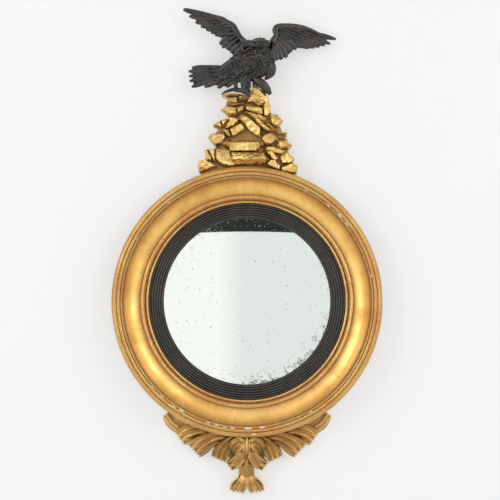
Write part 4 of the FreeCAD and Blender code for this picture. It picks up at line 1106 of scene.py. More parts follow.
@dataclass
class Rockwork:
    """Gilded stones piled into a pedestal, carved from three glued blocks."""

    stones: tuple[Stone, ...] = STONES
    back: float = 2.5
    joints: Pair = (42.0, 109.0)
    round_over: float = 0.9
    grain: float = 3.0
    ridges: tuple[Pair, ...] = ((62.0, 2.0), (170.0, 0.8))
    uneven: float = 2.4
    still_back: float = 1.0
    swell: float = 1.09
    beyond: Pair = (-100.0, 300.0)
    core_front: float = 36.0
    # core_shade: painted shade on the core where it shows between the stones.
    core_shade: float = 0.5
    back_step: float = 0.15
    core: tuple[Pair, ...] = (
        (-38, 146), (-2, 149), (8, 151), (14, 168), (20, 168), (34, 142), (45, 125), (46, 108),
        (60, 96), (68, 82), (74, 62), (80, 40), (90, 14), (93, -20), (-93, -20), (-84, 20),
        (-62, 40), (-70, 60), (-58, 78), (-52, 88), (-38, 102), (-46, 116))

    def core_part(self, low: float, high: float) -> bmesh.types.BMesh:
        """Core behind the stones between two heights, painted dark as the shade in the crevices between them.
        """
        shape = prism([at(x, self.back, FRAME_RADIUS + height) for x, height in self.core],
                      self.core_front - self.back, self.core_shade)
        for height, side in ((high, 1.0), (low, -1.0)):
            bmesh.ops.bisect_plane(shape, geom=shape.verts[:] + shape.edges[:] + shape.faces[:],
                                   plane_co=at(0, 0, FRAME_RADIUS + height), plane_no=(0, 0, side),
                                   clear_outer=True)
            close_holes(shape)
        return shape

    def hewn(self, stone: Stone) -> bmesh.types.BMesh:
        """One stone with its struck facets, softened edges and uneven gesso.

        Args:
            stone: Its corners.

        Returns:
            The stone.
        """
        shape = bmesh.new()
        middle_x = sum(x for x, _ in stone.outline) / len(stone.outline)
        middle_height = sum(height for _, height in stone.outline) / len(stone.outline)

        def corner(x: float, height: float, depth: float) -> None:
            shape.verts.new(at(middle_x + (x - middle_x) * self.swell, depth,
                               FRAME_RADIUS + middle_height + (height - middle_height) * self.swell))

        behind = self.back + self.back_step * (1 + self.stones.index(stone))
        for x, height in stone.outline:
            for depth in (behind, stone.side):
                corner(x, height, depth)
        for x, height, depth in stone.front:
            corner(x, height, depth)
        bmesh.ops.convex_hull(shape, input=shape.verts[:])
        bmesh.ops.delete(shape, geom=[vertex for vertex in shape.verts if not vertex.link_faces],
                         context="VERTS")
        bmesh.ops.dissolve_limit(shape, angle_limit=math.radians(4.0), verts=shape.verts[:],
                                 edges=shape.edges[:])
        bmesh.ops.bevel(shape, geom=[edge for edge in shape.edges if edge.calc_length() > 2.0 * MM],
                        offset=self.round_over * MM, offset_type="OFFSET", segments=2, profile=0.5,
                        affect="EDGES", clamp_overlap=True, material=-1)
        bmesh.ops.triangulate(shape, faces=shape.faces[:])
        for _ in range(5):
            long_edges = [edge for edge in shape.edges if edge.calc_length() > self.grain * MM]
            bmesh.ops.subdivide_edges(shape, edges=long_edges, cuts=1)
            bmesh.ops.triangulate(shape, faces=[face for face in shape.faces if len(face.verts) > 3])
        shape.normal_update()
        for vertex in shape.verts:
            if -vertex.co.y / MM > behind + self.still_back:
                height = sum(abs(noise.noise(vertex.co * scale)) * share for scale, share in self.ridges)
                vertex.co -= vertex.normal * (height * self.uneven * MM)
        return shape

    def build(self, material: bpy.types.Material) -> None:
        """Make the three blocks.

        Args:
            material: The gilding.
        """
        carvings = [Carving(), Carving(), Carving()]
        for stone in self.stones:
            middle = sum(height for _, height in stone.outline) / len(stone.outline)
            carvings[sum(middle > joint for joint in self.joints)].take(self.hewn(stone))
        lowest, highest = self.beyond
        heights = (lowest, *self.joints, highest)
        for index, place in enumerate(("lower", "middle", "upper")):
            carvings[index].take(self.core_part(heights[index], heights[index + 1]))
            clear_of_frame(carvings[index].whole)
            make_piece(carvings[index].whole, f"gilded_rocks_{place}", material, "rock_gilding",
                       [f"rockwork_{place}_block"], 60.0)


# ---- eagle ---------------------------------------------------------------------------
@dataclass(frozen=True)
class Form:
    """Round form through stations (x, depth, height above the perch, radius)."""

    stations: tuple[tuple[float, float, float, float], ...]
    worn: float = 0.0

    def spot(self, share: float, turn: float, lift: float = 0.0) -> tuple[Vector, Vector]:
        """Point on the form.

        Args:
            share: Share of the way along it.
            turn: Angle round it, 0 towards the viewer.
            lift: Millimetres above the surface.

        Returns:
            The point and the direction out of the surface.
        """
        x, depth, height, radius = curve_at(self.stations, share)
        ahead = curve_at(self.stations, min(share + 0.02, 1.0))
        behind = curve_at(self.stations, max(share - 0.02, 0.0))
        along = (at(*ahead[:3]) - at(*behind[:3])).normalized()
        front = Vector((0, -1, 0))
        front = (front - along * front.dot(along)).normalized()
        outward = front * math.cos(turn) + along.cross(front) * math.sin(turn)
        middle = at(x, depth, PERCH_HEIGHT + height)
        return middle + outward * ((max(radius, 0.3) + lift) * MM), outward

    def lump(self, around: int = 20, steps: int = 20) -> bmesh.types.BMesh:
        """Closed mesh of the form."""
        shape = shaped_grid(around, steps, lambda u, v: self.spot(v, math.tau * u)[0],
                            lambda u, v: (self.worn, 0.0))
        bmesh.ops.remove_doubles(shape, verts=shape.verts, dist=1e-6)
        close_holes(shape)
        return shape


@dataclass(frozen=True)
class Feather:
    """One carved feather, from its root to its tip."""

    root: Vector
    tip: Vector
    outward: Vector
    width: float
    thick: float = 1.6
    ridge: float = 1.1
    bow: float = 0.0
    blunt: float = 0.24
    worn: float = 0.4
    cells: tuple[int, int] = (6, 7)
    point: float = 0.42

    def half_width(self, share: float) -> float:
        """Half width at a share of the length."""
        rise = min(1.0, 0.6 + share * 1.4)
        end = max(0.0, share - 1.0 + self.blunt) / self.blunt
        return self.width / 2 * rise * max(math.sqrt(max(0.0, 1.0 - end * end)), self.point)

    def lump(self) -> bmesh.types.BMesh:
        """Closed mesh of the feather."""
        run = self.tip - self.root
        side = run.cross(self.outward).normalized()

        def place(u: float, v: float) -> Vector:
            across, share = 2 * u - 1, 1 - (1 - v) ** 1.8
            lift = self.ridge * (1 - abs(across)) ** 1.3 + 0.8 * (1 - across ** 4)
            sideways = across * self.half_width(share) + self.bow * 4 * share * (1 - share)
            return self.root + run * share + (side * sideways + self.outward * lift) * MM

        def state(u: float, v: float) -> Pair:
            edge = abs(2 * u - 1)
            rubbed = max(clamp(1.0 - edge * 2.2), clamp(v * 3 - 2.2))
            # dusty here is painted shade: the DEEP value darkens the root, tucked under the feathers above,
            # and the sides.
            dusty = max(clamp(1.0 - v * 3), clamp(edge * 4 - 3.2))
            return (self.worn * rubbed, dusty * 0.8)

        shape = shaped_grid(*self.cells, place, state)
        for vertex in new_verts(bmesh.ops.extrude_face_region(shape, geom=shape.faces[:])["geom"]):
            vertex.co -= self.outward * (self.thick * MM)
        return shape


@dataclass(frozen=True)
class Row:
    """A row of feathers on a wing or the tail, between a line of roots and their tips."""

    roots: tuple[Pair, ...]
    tips: tuple[Pair, ...]
    width: float
    rise: float
    drop: float = 1.5
    stack: float = 0.35
    bow: float = 0.0
    worn: float = 0.4
    blunt: float = 0.24


@dataclass
class Eagle:
    """Dark carved eagle: body, head turned back, tail, two open wings and two legs."""

    back: float = 33.0
    lean: float = 0.10
    straight: float = 20.0
    scale_width: float = 8.5
    blade_thick: float = 5.5
    body: Form = Form(((-62, 40, 36, 6), (-45, 40, 40, 15), (-20, 41, 48, 25), (8, 41, 57, 29.4),
                       (32, 42, 65, 28), (48, 42, 72, 13)))
    thigh: Form = Form(((30, 44, 64, 10), (43, 47, 53, 15), (47, 47, 41, 12), (42, 46, 31, 6),
                        (36, 45, 26, 2)))
    neck: Form = Form(((16, 44, 60, 27), (22, 44, 74, 25), (26, 44, 86, 21), (27, 45, 94, 15)))
    skull: Form = Form(((44, 40, 90, 5), (38, 42, 92, 13), (26, 46, 93, 16), (14, 51, 94, 12),
                        (6, 55, 94, 9)))
    beak: tuple[Form, ...] = (
        Form(((12, 53, 94, 10), (3, 57, 96, 9), (-5, 60, 94, 7.5), (-10, 62, 89, 5), (-9, 63, 83, 3),
              (-5, 63, 79, 0.8))),
        Form(((14, 52, 86, 7), (5, 56, 84, 5), (-1, 58, 82, 3), (-3, 59, 81, 1))))
    # The mouth's ridge is fully rubbed: a light line that also paints the beak's highlight.
    mouth: Form = Form(((-6, 63, 79, 0.6), (-1, 64, 84, 0.8), (4, 64, 87, 0.8), (11, 63, 86, 0.8),
                        (19, 60, 85, 0.5)), 1.0)
    brow: Form = Form(((20, 60, 100, 1.5), (12, 61, 101, 2.4), (4, 62, 99, 2.0), (0, 61, 97, 0.8)), 0.5)
    eye: Form = Form(((14, 60, 97, 0.5), (12, 62, 97, 2.2), (10, 62, 96.5, 0.5)), 0.2)
    left_edge: Form = Form(((-130, 26, 173.6, 1), (-122, 27, 172, 2.5), (-100, 29, 166.5, 3.2),
                            (-73, 32, 158, 4.4), (-46, 36, 146, 6), (-30, 38, 136.5, 6.8),
                            (-23, 39, 126, 6.5), (-14, 40, 112, 6), (0, 41, 97, 8)), 0.35)
    right_edge: Form = Form(((182, 21, 113.2, 1), (170, 23, 115, 2.2), (150, 25, 121, 3),
                             (129, 28, 130, 4), (105, 31, 136, 5), (80, 34, 136.5, 6), (63, 36, 134, 7),
                             (58, 38, 127, 6.5), (60, 39, 117, 6), (52, 40, 102, 8)), 0.55)
    left_blade: tuple[Pair, ...] = (
        (-118, 169), (-73, 157), (-45, 146), (-26, 130), (-14, 112), (8, 92), (2, 66), (-28, 76),
        (-42, 92), (-50, 100), (-52, 116), (-66, 121), (-84, 132), (-104, 148))
    right_blade: tuple[Pair, ...] = (
        (168, 114), (129, 129), (80, 136), (58, 126), (50, 108), (34, 86), (40, 66), (56, 64),
        (68, 70), (82, 76), (94, 88), (108, 98), (130, 96), (156, 101))
    tail_blade: tuple[Pair, ...] = (
        (-58, 56), (-105, 50), (-112, 42), (-110, 18), (-84, 16), (-58, 15), (-40, 12), (-26, 24),
        (-24, 50))
    left_rows: tuple[Row, ...] = (
        Row(((-48, 148), (-42, 142), (-36, 135), (-32, 128)),
            ((-131, 171.5), (-119, 158), (-106, 145), (-95, 136), (-84, 129), (-74, 123), (-65.5, 117.5),
             (-58, 115)), 10.5, 5.5, worn=0.2),
        Row(((-28, 124), (-22, 114), (-14, 104), (-6, 94)),
            ((-56, 99), (-51, 92), (-42, 88.5), (-34, 82), (-27, 74)), 13.5, 6.5, worn=0.3, blunt=0.5),
        Row(((-50, 152), (-38, 141), (-27, 128), (-16, 112)),
            ((-96, 160), (-88, 153), (-78, 145), (-68, 138), (-60, 131), (-52, 125), (-46, 117), (-40, 106),
             (-33, 97)), 7.0, 8.0, worn=0.35),
        Row(((-44, 151), (-32, 141), (-24, 130), (-14, 114)),
            ((-82, 161), (-74, 156), (-66, 150), (-58, 143), (-50, 137), (-42, 130), (-36, 119), (-26, 104)),
            5.5, 9.5, worn=1.0))
    right_rows: tuple[Row, ...] = (
        Row(((84, 134), (76, 126), (70, 118), (66, 112)),
            ((183, 112), (171, 102), (160, 98.5), (149, 95), (138, 93), (127, 92), (116, 93.5), (107, 95.5)),
            10.5, 5.5, worn=0.25),
        Row(((66, 114), (60, 104), (54, 94), (46, 84)),
            ((102, 90), (92, 84), (82, 72), (71.5, 67.5), (62, 68), (54, 60.5), (47, 62)), 16.0, 9.6,
            worn=0.4, blunt=0.5),
        Row(((84, 138), (72, 130), (63, 120), (54, 106)),
            ((142, 118), (133, 113), (123, 109), (112, 106), (101, 103), (92, 97), (82, 88), (70, 80),
             (60, 76)), 7.5, 8.0, worn=0.4),
        Row(((78, 140), (68, 132), (60, 122), (50, 106)),
            ((124, 128), (115, 122), (105, 118), (95, 113), (85, 107), (76, 98), (66, 88), (56, 82)),
            6.0, 9.5, worn=0.7))
    tail_rows: tuple[Row, ...] = (
        Row(((-44, 51), (-42, 46), (-40, 41), (-38, 36), (-35, 31)),
            ((-113, 52), (-120, 44), (-119, 34), (-118, 24), (-113.6, 12), (-87, 11.5), (-60, 9)), 10.5, 8.0,
            0.5, 0.5, worn=0.3),
        Row(((-28, 48), (-22, 40), (-14, 33)),
            ((-78, 52), (-80, 44), (-76, 35), (-68, 25), (-56, 16), (-42, 10)), 8.5, 12.0, 1.0, 0.5,
            worn=0.6))
    left_leg: tuple[Form, ...] = (
        Form(((-22, 42, 34, 9), (-23, 43, 20, 5), (-23, 44, 8, 4), (-23, 44, 4, 4.5))),
        Form(((-18, 46, 5, 4.5), (-28, 47, 5, 3.8), (-38, 47, 2.5, 3.3), (-47, 46.5, -1.5, 2.4),
              (-52, 46, -6, 1))),
        Form(((-24, 44, 5, 4.5), (-14, 50, 3, 4.5), (-5, 53, 1, 4.5), (2, 53, -5, 3.5),
              (5, 52, -11, 1.2))))
    tuft: Form = Form(((-1, 51, -3, 5), (-2, 50, 8, 7), (-3, 49, 20, 9.5), (-4, 46, 34, 15)))
    right_leg: Form = Form(((12, 45, 31, 8), (26, 47, 20, 9.5), (37, 47, 10, 9), (44, 46, 1, 6.5),
                            (48, 45, -5, 3)))

    def depth_at(self, x: float) -> float:
        """Depth of a wing's back at a place across."""
        return self.back - self.lean * max(0.0, abs(x) - self.straight)

    def blade(self, corners: Sequence[Pair], thick: float) -> bmesh.types.BMesh:
        """Thin blade under a wing's or the tail's feathers, painted with shade where it shows between them.
        """
        return prism([at(x, self.depth_at(x) + 0.5, PERCH_HEIGHT + height) for x, height in corners],
                     thick, 0.6)

    def feathers(self, carving: Carving, rows: Sequence[Row]) -> None:
        """Lay rows of feathers.

        Args:
            carving: What they are carved from.
            rows: The rows, the lowest first.
        """
        for row in rows:
            for index, (x, height) in enumerate(row.tips):
                from_x, from_height = curve_at(row.roots, index / (len(row.tips) - 1))
                rise = row.rise + row.stack * index
                root = at(from_x, self.depth_at(from_x) + rise, PERCH_HEIGHT + from_height)
                tip = at(x, self.depth_at(x) + rise - row.drop, PERCH_HEIGHT + height)
                carving.take(Feather(root, tip, Vector((0.0, -1.0, 0.0)), row.width, bow=row.bow,
                                     blunt=row.blunt, worn=row.worn).lump())

    def scales(self, carving: Carving, form: Form, rows: int, reach: float, length: float,
               ends: Pair = (0.1, 0.95), worn: float = 0.45) -> None:
        """Cover the seen side of a form with short feathers that point to its start.

        Args:
            carving: What they are carved from.
            form: The form.
            rows: Rows along it.
            reach: How far round they go to either side, in degrees.
            length: Length of a feather as a share of the form's.
            ends: Shares of the form between which they lie.
            worn: How rubbed their crests are.
        """
        dice = random.Random(len(form.stations) * rows)
        for row in range(rows):
            share = ends[0] + (ends[1] - ends[0]) * row / (rows - 1)
            radius = curve_at(form.stations, share)[3]
            count = max(3, round(2 * math.radians(reach) * radius / self.scale_width))
            for index in range(count):
                spot = (index + 0.5 * (row % 2)) / (count - 1) * 2 - 1
                turn = math.radians(reach) * spot + dice.uniform(-0.05, 0.05)
                root, outward = form.spot(min(1.0, share + length / 2), turn, -1.6)
                tip, _ = form.spot(max(0.0, share - length / 2), turn + dice.uniform(-0.25, 0.25),
                                   dice.uniform(0.9, 2.2))
                carving.take(Feather(root, tip, outward, self.scale_width * dice.uniform(0.8, 1.1), 2.0,
                                     1.7, dice.uniform(-1.4, 1.4), 0.5, worn * dice.uniform(0.2, 1.4),
                                     (4, 5)).lump())

    def finish(self, carving: Carving, name: str, material: bpy.types.Material) -> None:
        """Turn a carving into the piece for the node of that name."""
        make_piece(carving.whole, f"carved_{name}", material, "ebonised_eagle", [name], 48.0)

    def build(self, material: bpy.types.Material) -> None:
        """Make the seven pieces.

        Args:
            material: The bronzed black finish.
        """
        body = Carving()
        body.take(self.body.lump(32, 28))
        body.take(self.thigh.lump())
        self.scales(body, self.body, 15, 118.0, 0.13)
        self.finish(body, "eagle_body", material)
        head = Carving()
        for form in (self.neck, self.skull, *self.beak, self.mouth, self.brow, self.eye):
            head.take(form.lump())
        self.scales(head, self.neck, 7, 115.0, 0.3, (0.1, 0.9), 0.7)
        self.scales(head, self.skull, 6, 120.0, 0.22, (0.2, 0.72), 0.9)
        self.finish(head, "eagle_head", material)
        for side, edge, blade, rows in (("left", self.left_edge, self.left_blade, self.left_rows),
                                        ("right", self.right_edge, self.right_blade, self.right_rows)):
            wing = Carving()
            wing.take(self.blade(blade, self.blade_thick))
            wing.take(edge.lump(16, 40))
            self.feathers(wing, rows)
            self.finish(wing, f"eagle_{side}_wing", material)
        tail = Carving()
        tail.take(self.blade(self.tail_blade, self.blade_thick))
        self.feathers(tail, self.tail_rows)
        self.finish(tail, "eagle_tail", material)
        leg = Carving()
        for form in (*self.left_leg, self.tuft):
            leg.take(form.lump(12, 14))
        self.scales(leg, self.tuft, 5, 100.0, 0.35, (0.15, 0.85))
        self.finish(leg, "eagle_left_leg", material)
        gripping = Carving()
        gripping.take(self.right_leg.lump(16, 18))
        self.finish(gripping, "eagle_right_leg", material)


# ---- apron ---------------------------------------------------------------------------
@dataclass(frozen=True)
class Lobe:
    """One fluted lobe of leaf: its spine (x, drop), its widths, front depths and flutes."""

    spine: tuple[Pair, ...]
    widths: tuple[float, ...]
    depths: tuple[float, ...]
    flutes: int = 3
    hollow: float = 4.0
    tip: float = 5.0
    crown: float = 3.0
    tilt: float = 0.0
    # dirt_and_shade: dirt and painted shade in the flutes.
    dirt_and_shade: float = 0.9

    def lump(self, mirrored: bool, back: float) -> bmesh.types.BMesh:
        """Closed mesh of the lobe.

        Args:
            mirrored: Whether it is the one on the right.
            back: Depth of its flat back.

        Returns:
            The lobe.
        """
        side = -1.0 if mirrored else 1.0

        def place(u: float, v: float) -> Vector:
            x, drop = curve_at(self.spine, v)
            ahead = curve_at(self.spine, min(1.0, v + 0.03))
            behind = curve_at(self.spine, max(0.0, v - 0.03))
            along = Vector((ahead[0] - behind[0], ahead[1] - behind[1])).normalized()
            across = Vector((-along.y, along.x))
            wide = curve_at([(width,) for width in self.widths], v)[0]
            depth = curve_at([(value,) for value in self.depths], v)[0]
            flute = abs(math.sin(math.pi * self.flutes * u))
            opened = min(1.0, v * 2.2)
            tooth = abs(math.sin(math.pi * self.flutes * 2 * u))
            notch = self.tip * (tooth - 0.5) * bump_shape(1.0 - v, 0.3)
            spot = Vector((x, drop)) + across * ((u - 0.5) * wide) + along * notch
            relief = depth + self.crown * (1 - (2 * u - 1) ** 2) - self.hollow * opened * flute ** 0.6
            relief += self.tilt * (u - 0.5)
            return at(side * spot.x, relief, -FRAME_RADIUS - spot.y)

        def state(u: float, v: float) -> Pair:
            flute = abs(math.sin(math.pi * self.flutes * u))
            # Painted shade: the low side of a tilted lobe is darkened, and the flutes carry dirt and painted
            # shade.
            low = clamp(1.0 - u * 2.2) * self.tilt / 10.0
            return (0.0, max(self.dirt_and_shade * flute ** 2, low) * min(1.0, v * 2.5) * (1.0 - 0.35 * v))

        return backed(shaped_grid(12 * self.flutes, 24, place, state), back)


@dataclass
class Apron:
    """Gilded acanthus carving below the frame: a centre leaf and two sprays."""

    back: float = 2.5
    back_step: float = 0.4
    stem_steps: int = 8
    spray: tuple[Lobe, ...] = (
        Lobe(((-96, 3), (-126, -13), (-148, -25), (-165, -43)), (22, 28, 32, 25), (25, 26, 25, 19),
             2, 4.0, 4, 3, 3),
        Lobe(((-62, -2), (-95, -9), (-122, -3), (-138, 7)), (14, 28, 38, 36), (30, 34, 31, 20),
             3, 6.0, 5, 3, 8),
        Lobe(((-40, 2), (-68, 5), (-92, 18), (-108, 32)), (12, 28, 40, 39), (34, 39, 35, 23),
             3, 6.5, 5, 3, 9),
        Lobe(((-20, 0), (-38, 12), (-50, 30), (-59, 48)), (10, 20, 33, 34), (38, 43, 38, 26),
             3, 6.0, 5, 3, 8))
    hooks: tuple[Lobe, ...] = (
        Lobe(((-4, 12), (-16, 9), (-27, 15), (-35, 30)), (10, 17, 19, 12), (40, 48, 46, 36),
             2, 5.0, 3, 2, 4),
        Lobe(((-4, 10), (-9, 24), (-17, 33), (-27, 38)), (9, 18, 20, 14), (38, 44, 42, 32),
             2, 5.0, 3, 2, 4),
        Lobe(((-2, 22), (-11, 38), (-22, 52), (-35, 63)), (8, 20, 24, 21), (42, 48, 45, 30),
             2, 5.5, 7, 3, -8))
    stem: Lobe = Lobe(((0, 0), (-1, 30), (-1, 60), (-1, 90)), (8, 17, 28, 34), (40, 47, 45, 33),
                      3, 4.0, 0, 5)
    fan: tuple[Lobe, ...] = (
        Lobe(((-5, 82), (-10, 95), (-15, 106), (-17, 114.6)), (14, 22, 27, 24), (36, 39, 36, 30),
             2, 5.0, 6, 3),
        Lobe(((-7, 86), (-18, 94), (-26, 104), (-31, 112.6)), (8, 13, 15, 12), (30, 34, 32, 26),
             1, 4.0, 5, 2, 3))
    web: tuple[Pair, ...] = (
        (-100, -20), (-96, 14), (-70, 20), (-48, 38), (-32, 48), (-18, 56), (-12, 94), (10, 94),
        (16, 56), (30, 48), (46, 38), (70, 20), (96, 14), (100, -20))
    web_front: float = 26.0
    # web_shade: painted shade on the web where it shows between the lobes.
    web_shade: float = 0.8

    def build(self, material: bpy.types.Material) -> None:
        """Make the centre leaf and the two sprays.

        Args:
            material: The gilding.
        """
        for side, mirrored in (("left", False), ("right", True)):
            carving = Carving()
            for index, lobe in enumerate(self.spray):
                carving.take(lobe.lump(mirrored, self.back + self.back_step * index))
            clear_of_frame(carving.whole)
            make_piece(carving.whole, f"acanthus_{side}_spray", material, "leaf_gilding",
                       [f"apron_{side}_spray"], 55.0)
        centre = Carving()
        for index, lobe in enumerate((*self.hooks, *self.fan), 1):
            centre.take(lobe.lump(False, self.back + self.back_step * index))
            centre.take(lobe.lump(True, self.back + self.back_step * (index + 0.5)))
        centre.take(self.stem.lump(False, self.back + self.back_step * self.stem_steps))
        corners = [at(x, self.back, -FRAME_RADIUS - drop) for x, drop in self.web]
        centre.take(prism(corners, self.web_front - self.back, self.web_shade))
        clear_of_frame(centre.whole)
        make_piece(centre.whole, "acanthus_centre_leaf", material, "leaf_gilding",
                   ["apron_centre_leaf"], 55.0)


# ---- studio --------------------------------------------------------------------------
@dataclass(frozen=True)
class Lamp:
    """One soft rectangular light: its place and size in metres, its power in watts."""

    name: str
    place: Triple
    size: Pair
    power: float
    glossy: bool = True


@dataclass
class Studio:
    """Camera, lights, floor and wall for the picture."""

    pixel: float = 2.037
    picture: int = 500
    frame_centre: Pair = (247.0, 301.8)
    camera_distance: float = 2800.0
    face_depth: float = 50.0
    sensor: float = 36.0
    floor_height: float = -900.0
    wall_half: float = 3000.0
    wall_gap: float = 1.0
    wall_paint: Colour = rgb(0.398, 0.40, 0.404)
    floor_paint: Colour = rgb(0.80, 0.79, 0.77)
    wall_glow: float = 0.5
    ambient: float = 0.6
    daylight: Colour = rgb(1.0, 0.995, 0.98)
    mirrored: Colour = rgb(0.88, 0.905, 0.895)
    paper: Colour = rgb(0.945, 0.945, 0.945)
    aim: Triple = (0.0, 0.0, 0.08)
    lamps: tuple[Lamp, ...] = (Lamp("left window", (-2.2, -2.2, 0.9), (2.0, 2.4), 34.0),
                               Lamp("right window", (2.2, -2.2, 0.9), (2.0, 2.4), 30.0),
                               Lamp("low fill", (0.0, -2.6, -0.6), (2.4, 0.8), 9.0, False))
    card_distance: float = 3400.0
    ceiling_edge: float = 1190.0
    ceiling_top: float = 1900.0
    ceiling_half: float = 1500.0
    ceiling_shade: Colour = rgb(0.030, 0.033, 0.030)
    screen_left: float = -2600.0
    screen_foot: float = -1900.0
    screen_fade: Pair = (-620.0, -20.0)
    screen_white: Colour = rgb(1.07, 1.07, 1.05)

    def camera(self) -> None:
        """Set the camera at the photograph's viewing angle."""
        data = bpy.data.cameras.new("camera")
        data.sensor_width = self.sensor
        span = self.picture * self.pixel
        data.lens = self.sensor * (self.camera_distance - self.face_depth) / span
        data.clip_end = 30.0
        eye = bpy.data.objects.new("camera", data)
        middle = self.picture / 2
        eye.location = at((middle - self.frame_centre[0]) * self.pixel, self.camera_distance,
                          (self.frame_centre[1] - middle) * self.pixel)
        eye.rotation_euler = (math.pi / 2, 0.0, 0.0)
        bpy.context.scene.collection.objects.link(eye)
        bpy.context.scene.camera = eye

    def world(self) -> None:
        """Pale surroundings: grey-green in reflections, near white to the camera."""
        world = bpy.data.worlds.new("studio")
        bpy.context.scene.world = world
        world.use_nodes = True
        nodes, links = world.node_tree.nodes, world.node_tree.links
        nodes.clear()
        surface = nodes.new("ShaderNodeOutputWorld").inputs["Surface"]
        path = nodes.new("ShaderNodeLightPath")
        lit = nodes.new("ShaderNodeBackground")
        lit.inputs["Color"].default_value = self.daylight
        lit.inputs["Strength"].default_value = self.ambient
        shown = lit
        for ray, colour in (("Is Glossy Ray", self.mirrored), ("Is Camera Ray", self.paper)):
            other = nodes.new("ShaderNodeBackground")
            other.inputs["Color"].default_value = colour
            mix = nodes.new("ShaderNodeMixShader")
            links.new(path.outputs[ray], mix.inputs["Fac"])
            links.new(shown.outputs[0], mix.inputs[1])
            links.new(other.outputs[0], mix.inputs[2])
            shown = mix
        links.new(shown.outputs[0], surface)

    def hang(self, lamp: Lamp) -> None:
        """Add one lamp, pointed at the mirror."""
        data = bpy.data.lights.new(lamp.name, "AREA")
        data.shape = "RECTANGLE"
        data.size, data.size_y = lamp.size
        data.energy = lamp.power
        light = bpy.data.objects.new(lamp.name, data)
        light.location = lamp.place
        light.rotation_mode = "QUATERNION"
        light.rotation_quaternion = (Vector(self.aim) - Vector(lamp.place)).to_track_quat("-Z", "Y")
        light.visible_glossy = lamp.glossy
        bpy.context.scene.collection.objects.link(light)

    def sheet(self, name: str, corners: Sequence[Vector]) -> bpy.types.Object:
        """Flat stage piece from its corners."""
        shape = bmesh.new()
        shape.faces.new([shape.verts.new(corner) for corner in corners])
        mesh = bpy.data.meshes.new(name)
        shape.to_mesh(mesh)
        shape.free()
        piece = bpy.data.objects.new(name, mesh)
        bpy.context.scene.collection.objects.link(piece)
        return piece

    def stage_paint(self, name: str, colour: Colour) -> bpy.types.Material:
        """Matt pale paint that is clear from behind."""
        graph = Graph(name)
        graph.finish(colour, 0.0, 0.9)
        seen = graph.add("ShaderNodeLightPath").outputs["Is Camera Ray"]
        graph.put(graph.shader.inputs["Emission Color"], self.paper)
        graph.wire(graph.math("MULTIPLY", seen, self.wall_glow), graph.shader.inputs["Emission Strength"])
        clear = graph.add("ShaderNodeBsdfTransparent")
        mix = graph.add("ShaderNodeMixShader")
        graph.wire(graph.add("ShaderNodeNewGeometry").outputs["Backfacing"], mix.inputs["Fac"])
        graph.wire(graph.shader.outputs["BSDF"], mix.inputs[1])
        graph.wire(clear.outputs["BSDF"], mix.inputs[2])
        graph.wire(mix.outputs["Shader"], graph.output.inputs["Surface"])
        return graph.material

    def glow(self, name: str, colour: Colour, fade: Pair | None) -> bpy.types.Material:
        """Plain glowing card.

        Args:
            name: The material's name.
            colour: What it glows with.
            fade: Places across, in millimetres, between which it fades out.

        Returns:
            The material.
        """
        graph = Graph(name)
        light = graph.add("ShaderNodeEmission")
        light.inputs["Color"].default_value = colour
        shown = light.outputs["Emission"]
        if fade:
            clear = graph.add("ShaderNodeBsdfTransparent")
            mix = graph.add("ShaderNodeMixShader")
            across = graph.along((1.0, 0.0, 0.0))
            graph.wire(graph.ranged(across, fade[0] * MM, fade[1] * MM), mix.inputs["Fac"])
            graph.wire(shown, mix.inputs[1])
            graph.wire(clear.outputs["BSDF"], mix.inputs[2])
            shown = mix.outputs["Shader"]
        graph.wire(shown, graph.output.inputs["Surface"])
        return graph.material

    def backdrop(self) -> None:
        """Wall behind the mirror and floor far below it."""
        half, low, behind = self.wall_half, self.floor_height, -self.wall_gap
        wall = self.sheet("wall", [at(-half, behind, low), at(half, behind, low),
                                   at(half, behind, half), at(-half, behind, half)])
        wall.data.materials.append(self.stage_paint("wall paint", self.wall_paint))
        wall.visible_diffuse = wall.visible_glossy = wall.visible_transmission = False
        wall.visible_shadow = False
        floor = self.sheet("floor", [at(-half, half, low), at(half, half, low),
                                     at(half, -half, low), at(-half, -half, low)])
        floor.data.materials.append(self.stage_paint("floor paint", self.floor_paint))
        floor.visible_glossy = False

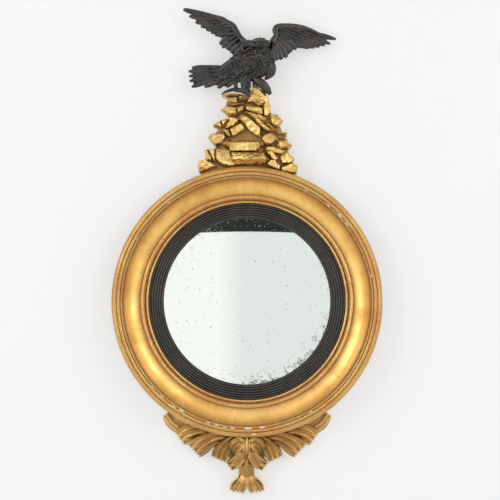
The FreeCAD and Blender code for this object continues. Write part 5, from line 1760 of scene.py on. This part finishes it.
    def card(self, name: str, across: Pair, upwards: Pair, colour: Colour,
             fade: Pair | None = None) -> None:
        """Upright card behind the camera that only shows in reflections.

        Args:
            name: Its name.
            across: Its left and right edge.
            upwards: Its lower and upper edge.
            colour: What it glows with.
            fade: Places across between which it fades out.
        """
        (left, right), (low, high), far = across, upwards, self.card_distance
        piece = self.sheet(name, [at(left, far, low), at(right, far, low),
                                  at(right, far, high), at(left, far, high)])
        piece.data.materials.append(self.glow(name, colour, fade))
        piece.visible_camera = piece.visible_diffuse = piece.visible_shadow = False
        piece.visible_transmission = False

    def reflections(self) -> None:
        """What the convex glass shows: a dark ceiling edge and a white screen at the left."""
        self.card("dark ceiling", (-self.ceiling_half, self.ceiling_half),
                  (self.ceiling_edge, self.ceiling_top), self.ceiling_shade)
        self.card("white screen", (self.screen_left, 0.0), (self.screen_foot, self.ceiling_edge),
                  self.screen_white, self.screen_fade)

    def build(self) -> None:
        """Set up everything."""
        self.camera()
        self.world()
        self.backdrop()
        self.reflections()
        for lamp in self.lamps:
            self.hang(lamp)
        bpy.context.scene.view_settings.view_transform = "Standard"


# ---- putting it together -------------------------------------------------------------
def dress_bench_parts(finishes: Finishes) -> None:
    """Finish the nodes whose own solids show or stay hidden as they are.

    Args:
        finishes: The materials.
    """
    groups = {
        "bare_pine": finishes.pine, "silvered_glass": finishes.glass, "tin_amalgam": finishes.tin,
        "water_gilding": finishes.moulding, "ebonised_slip": finishes.slip,
        "rock_gilding": finishes.rock, "ebonised_eagle": finishes.feathers,
        "leaf_gilding": finishes.leafage, "oak_dowel": finishes.oak,
        "wrought_iron": finishes.iron, "hanger_brass": finishes.brass,
    }
    for row in frame["record"]["subparts"]:
        dress_node(row["node"], groups[row["material_slot"]])
    dress_node("carcase_ring", finishes.pine_ring)


def main() -> None:
    """Build the mirror's looks around its frame."""
    logging.basicConfig(level=logging.INFO, format="%(message)s")
    finishes = Finishes()
    dress_bench_parts(finishes)
    GiltMoulding().build(finishes.moulding)
    ReededSlip().build(finishes.slip)
    MirrorGlass().build(finishes.glass)
    Rockwork().build(finishes.rock)
    Apron().build(finishes.leafage)
    Eagle().build(finishes.feathers)
    Studio().build()


if __name__ == "__main__":
    main()
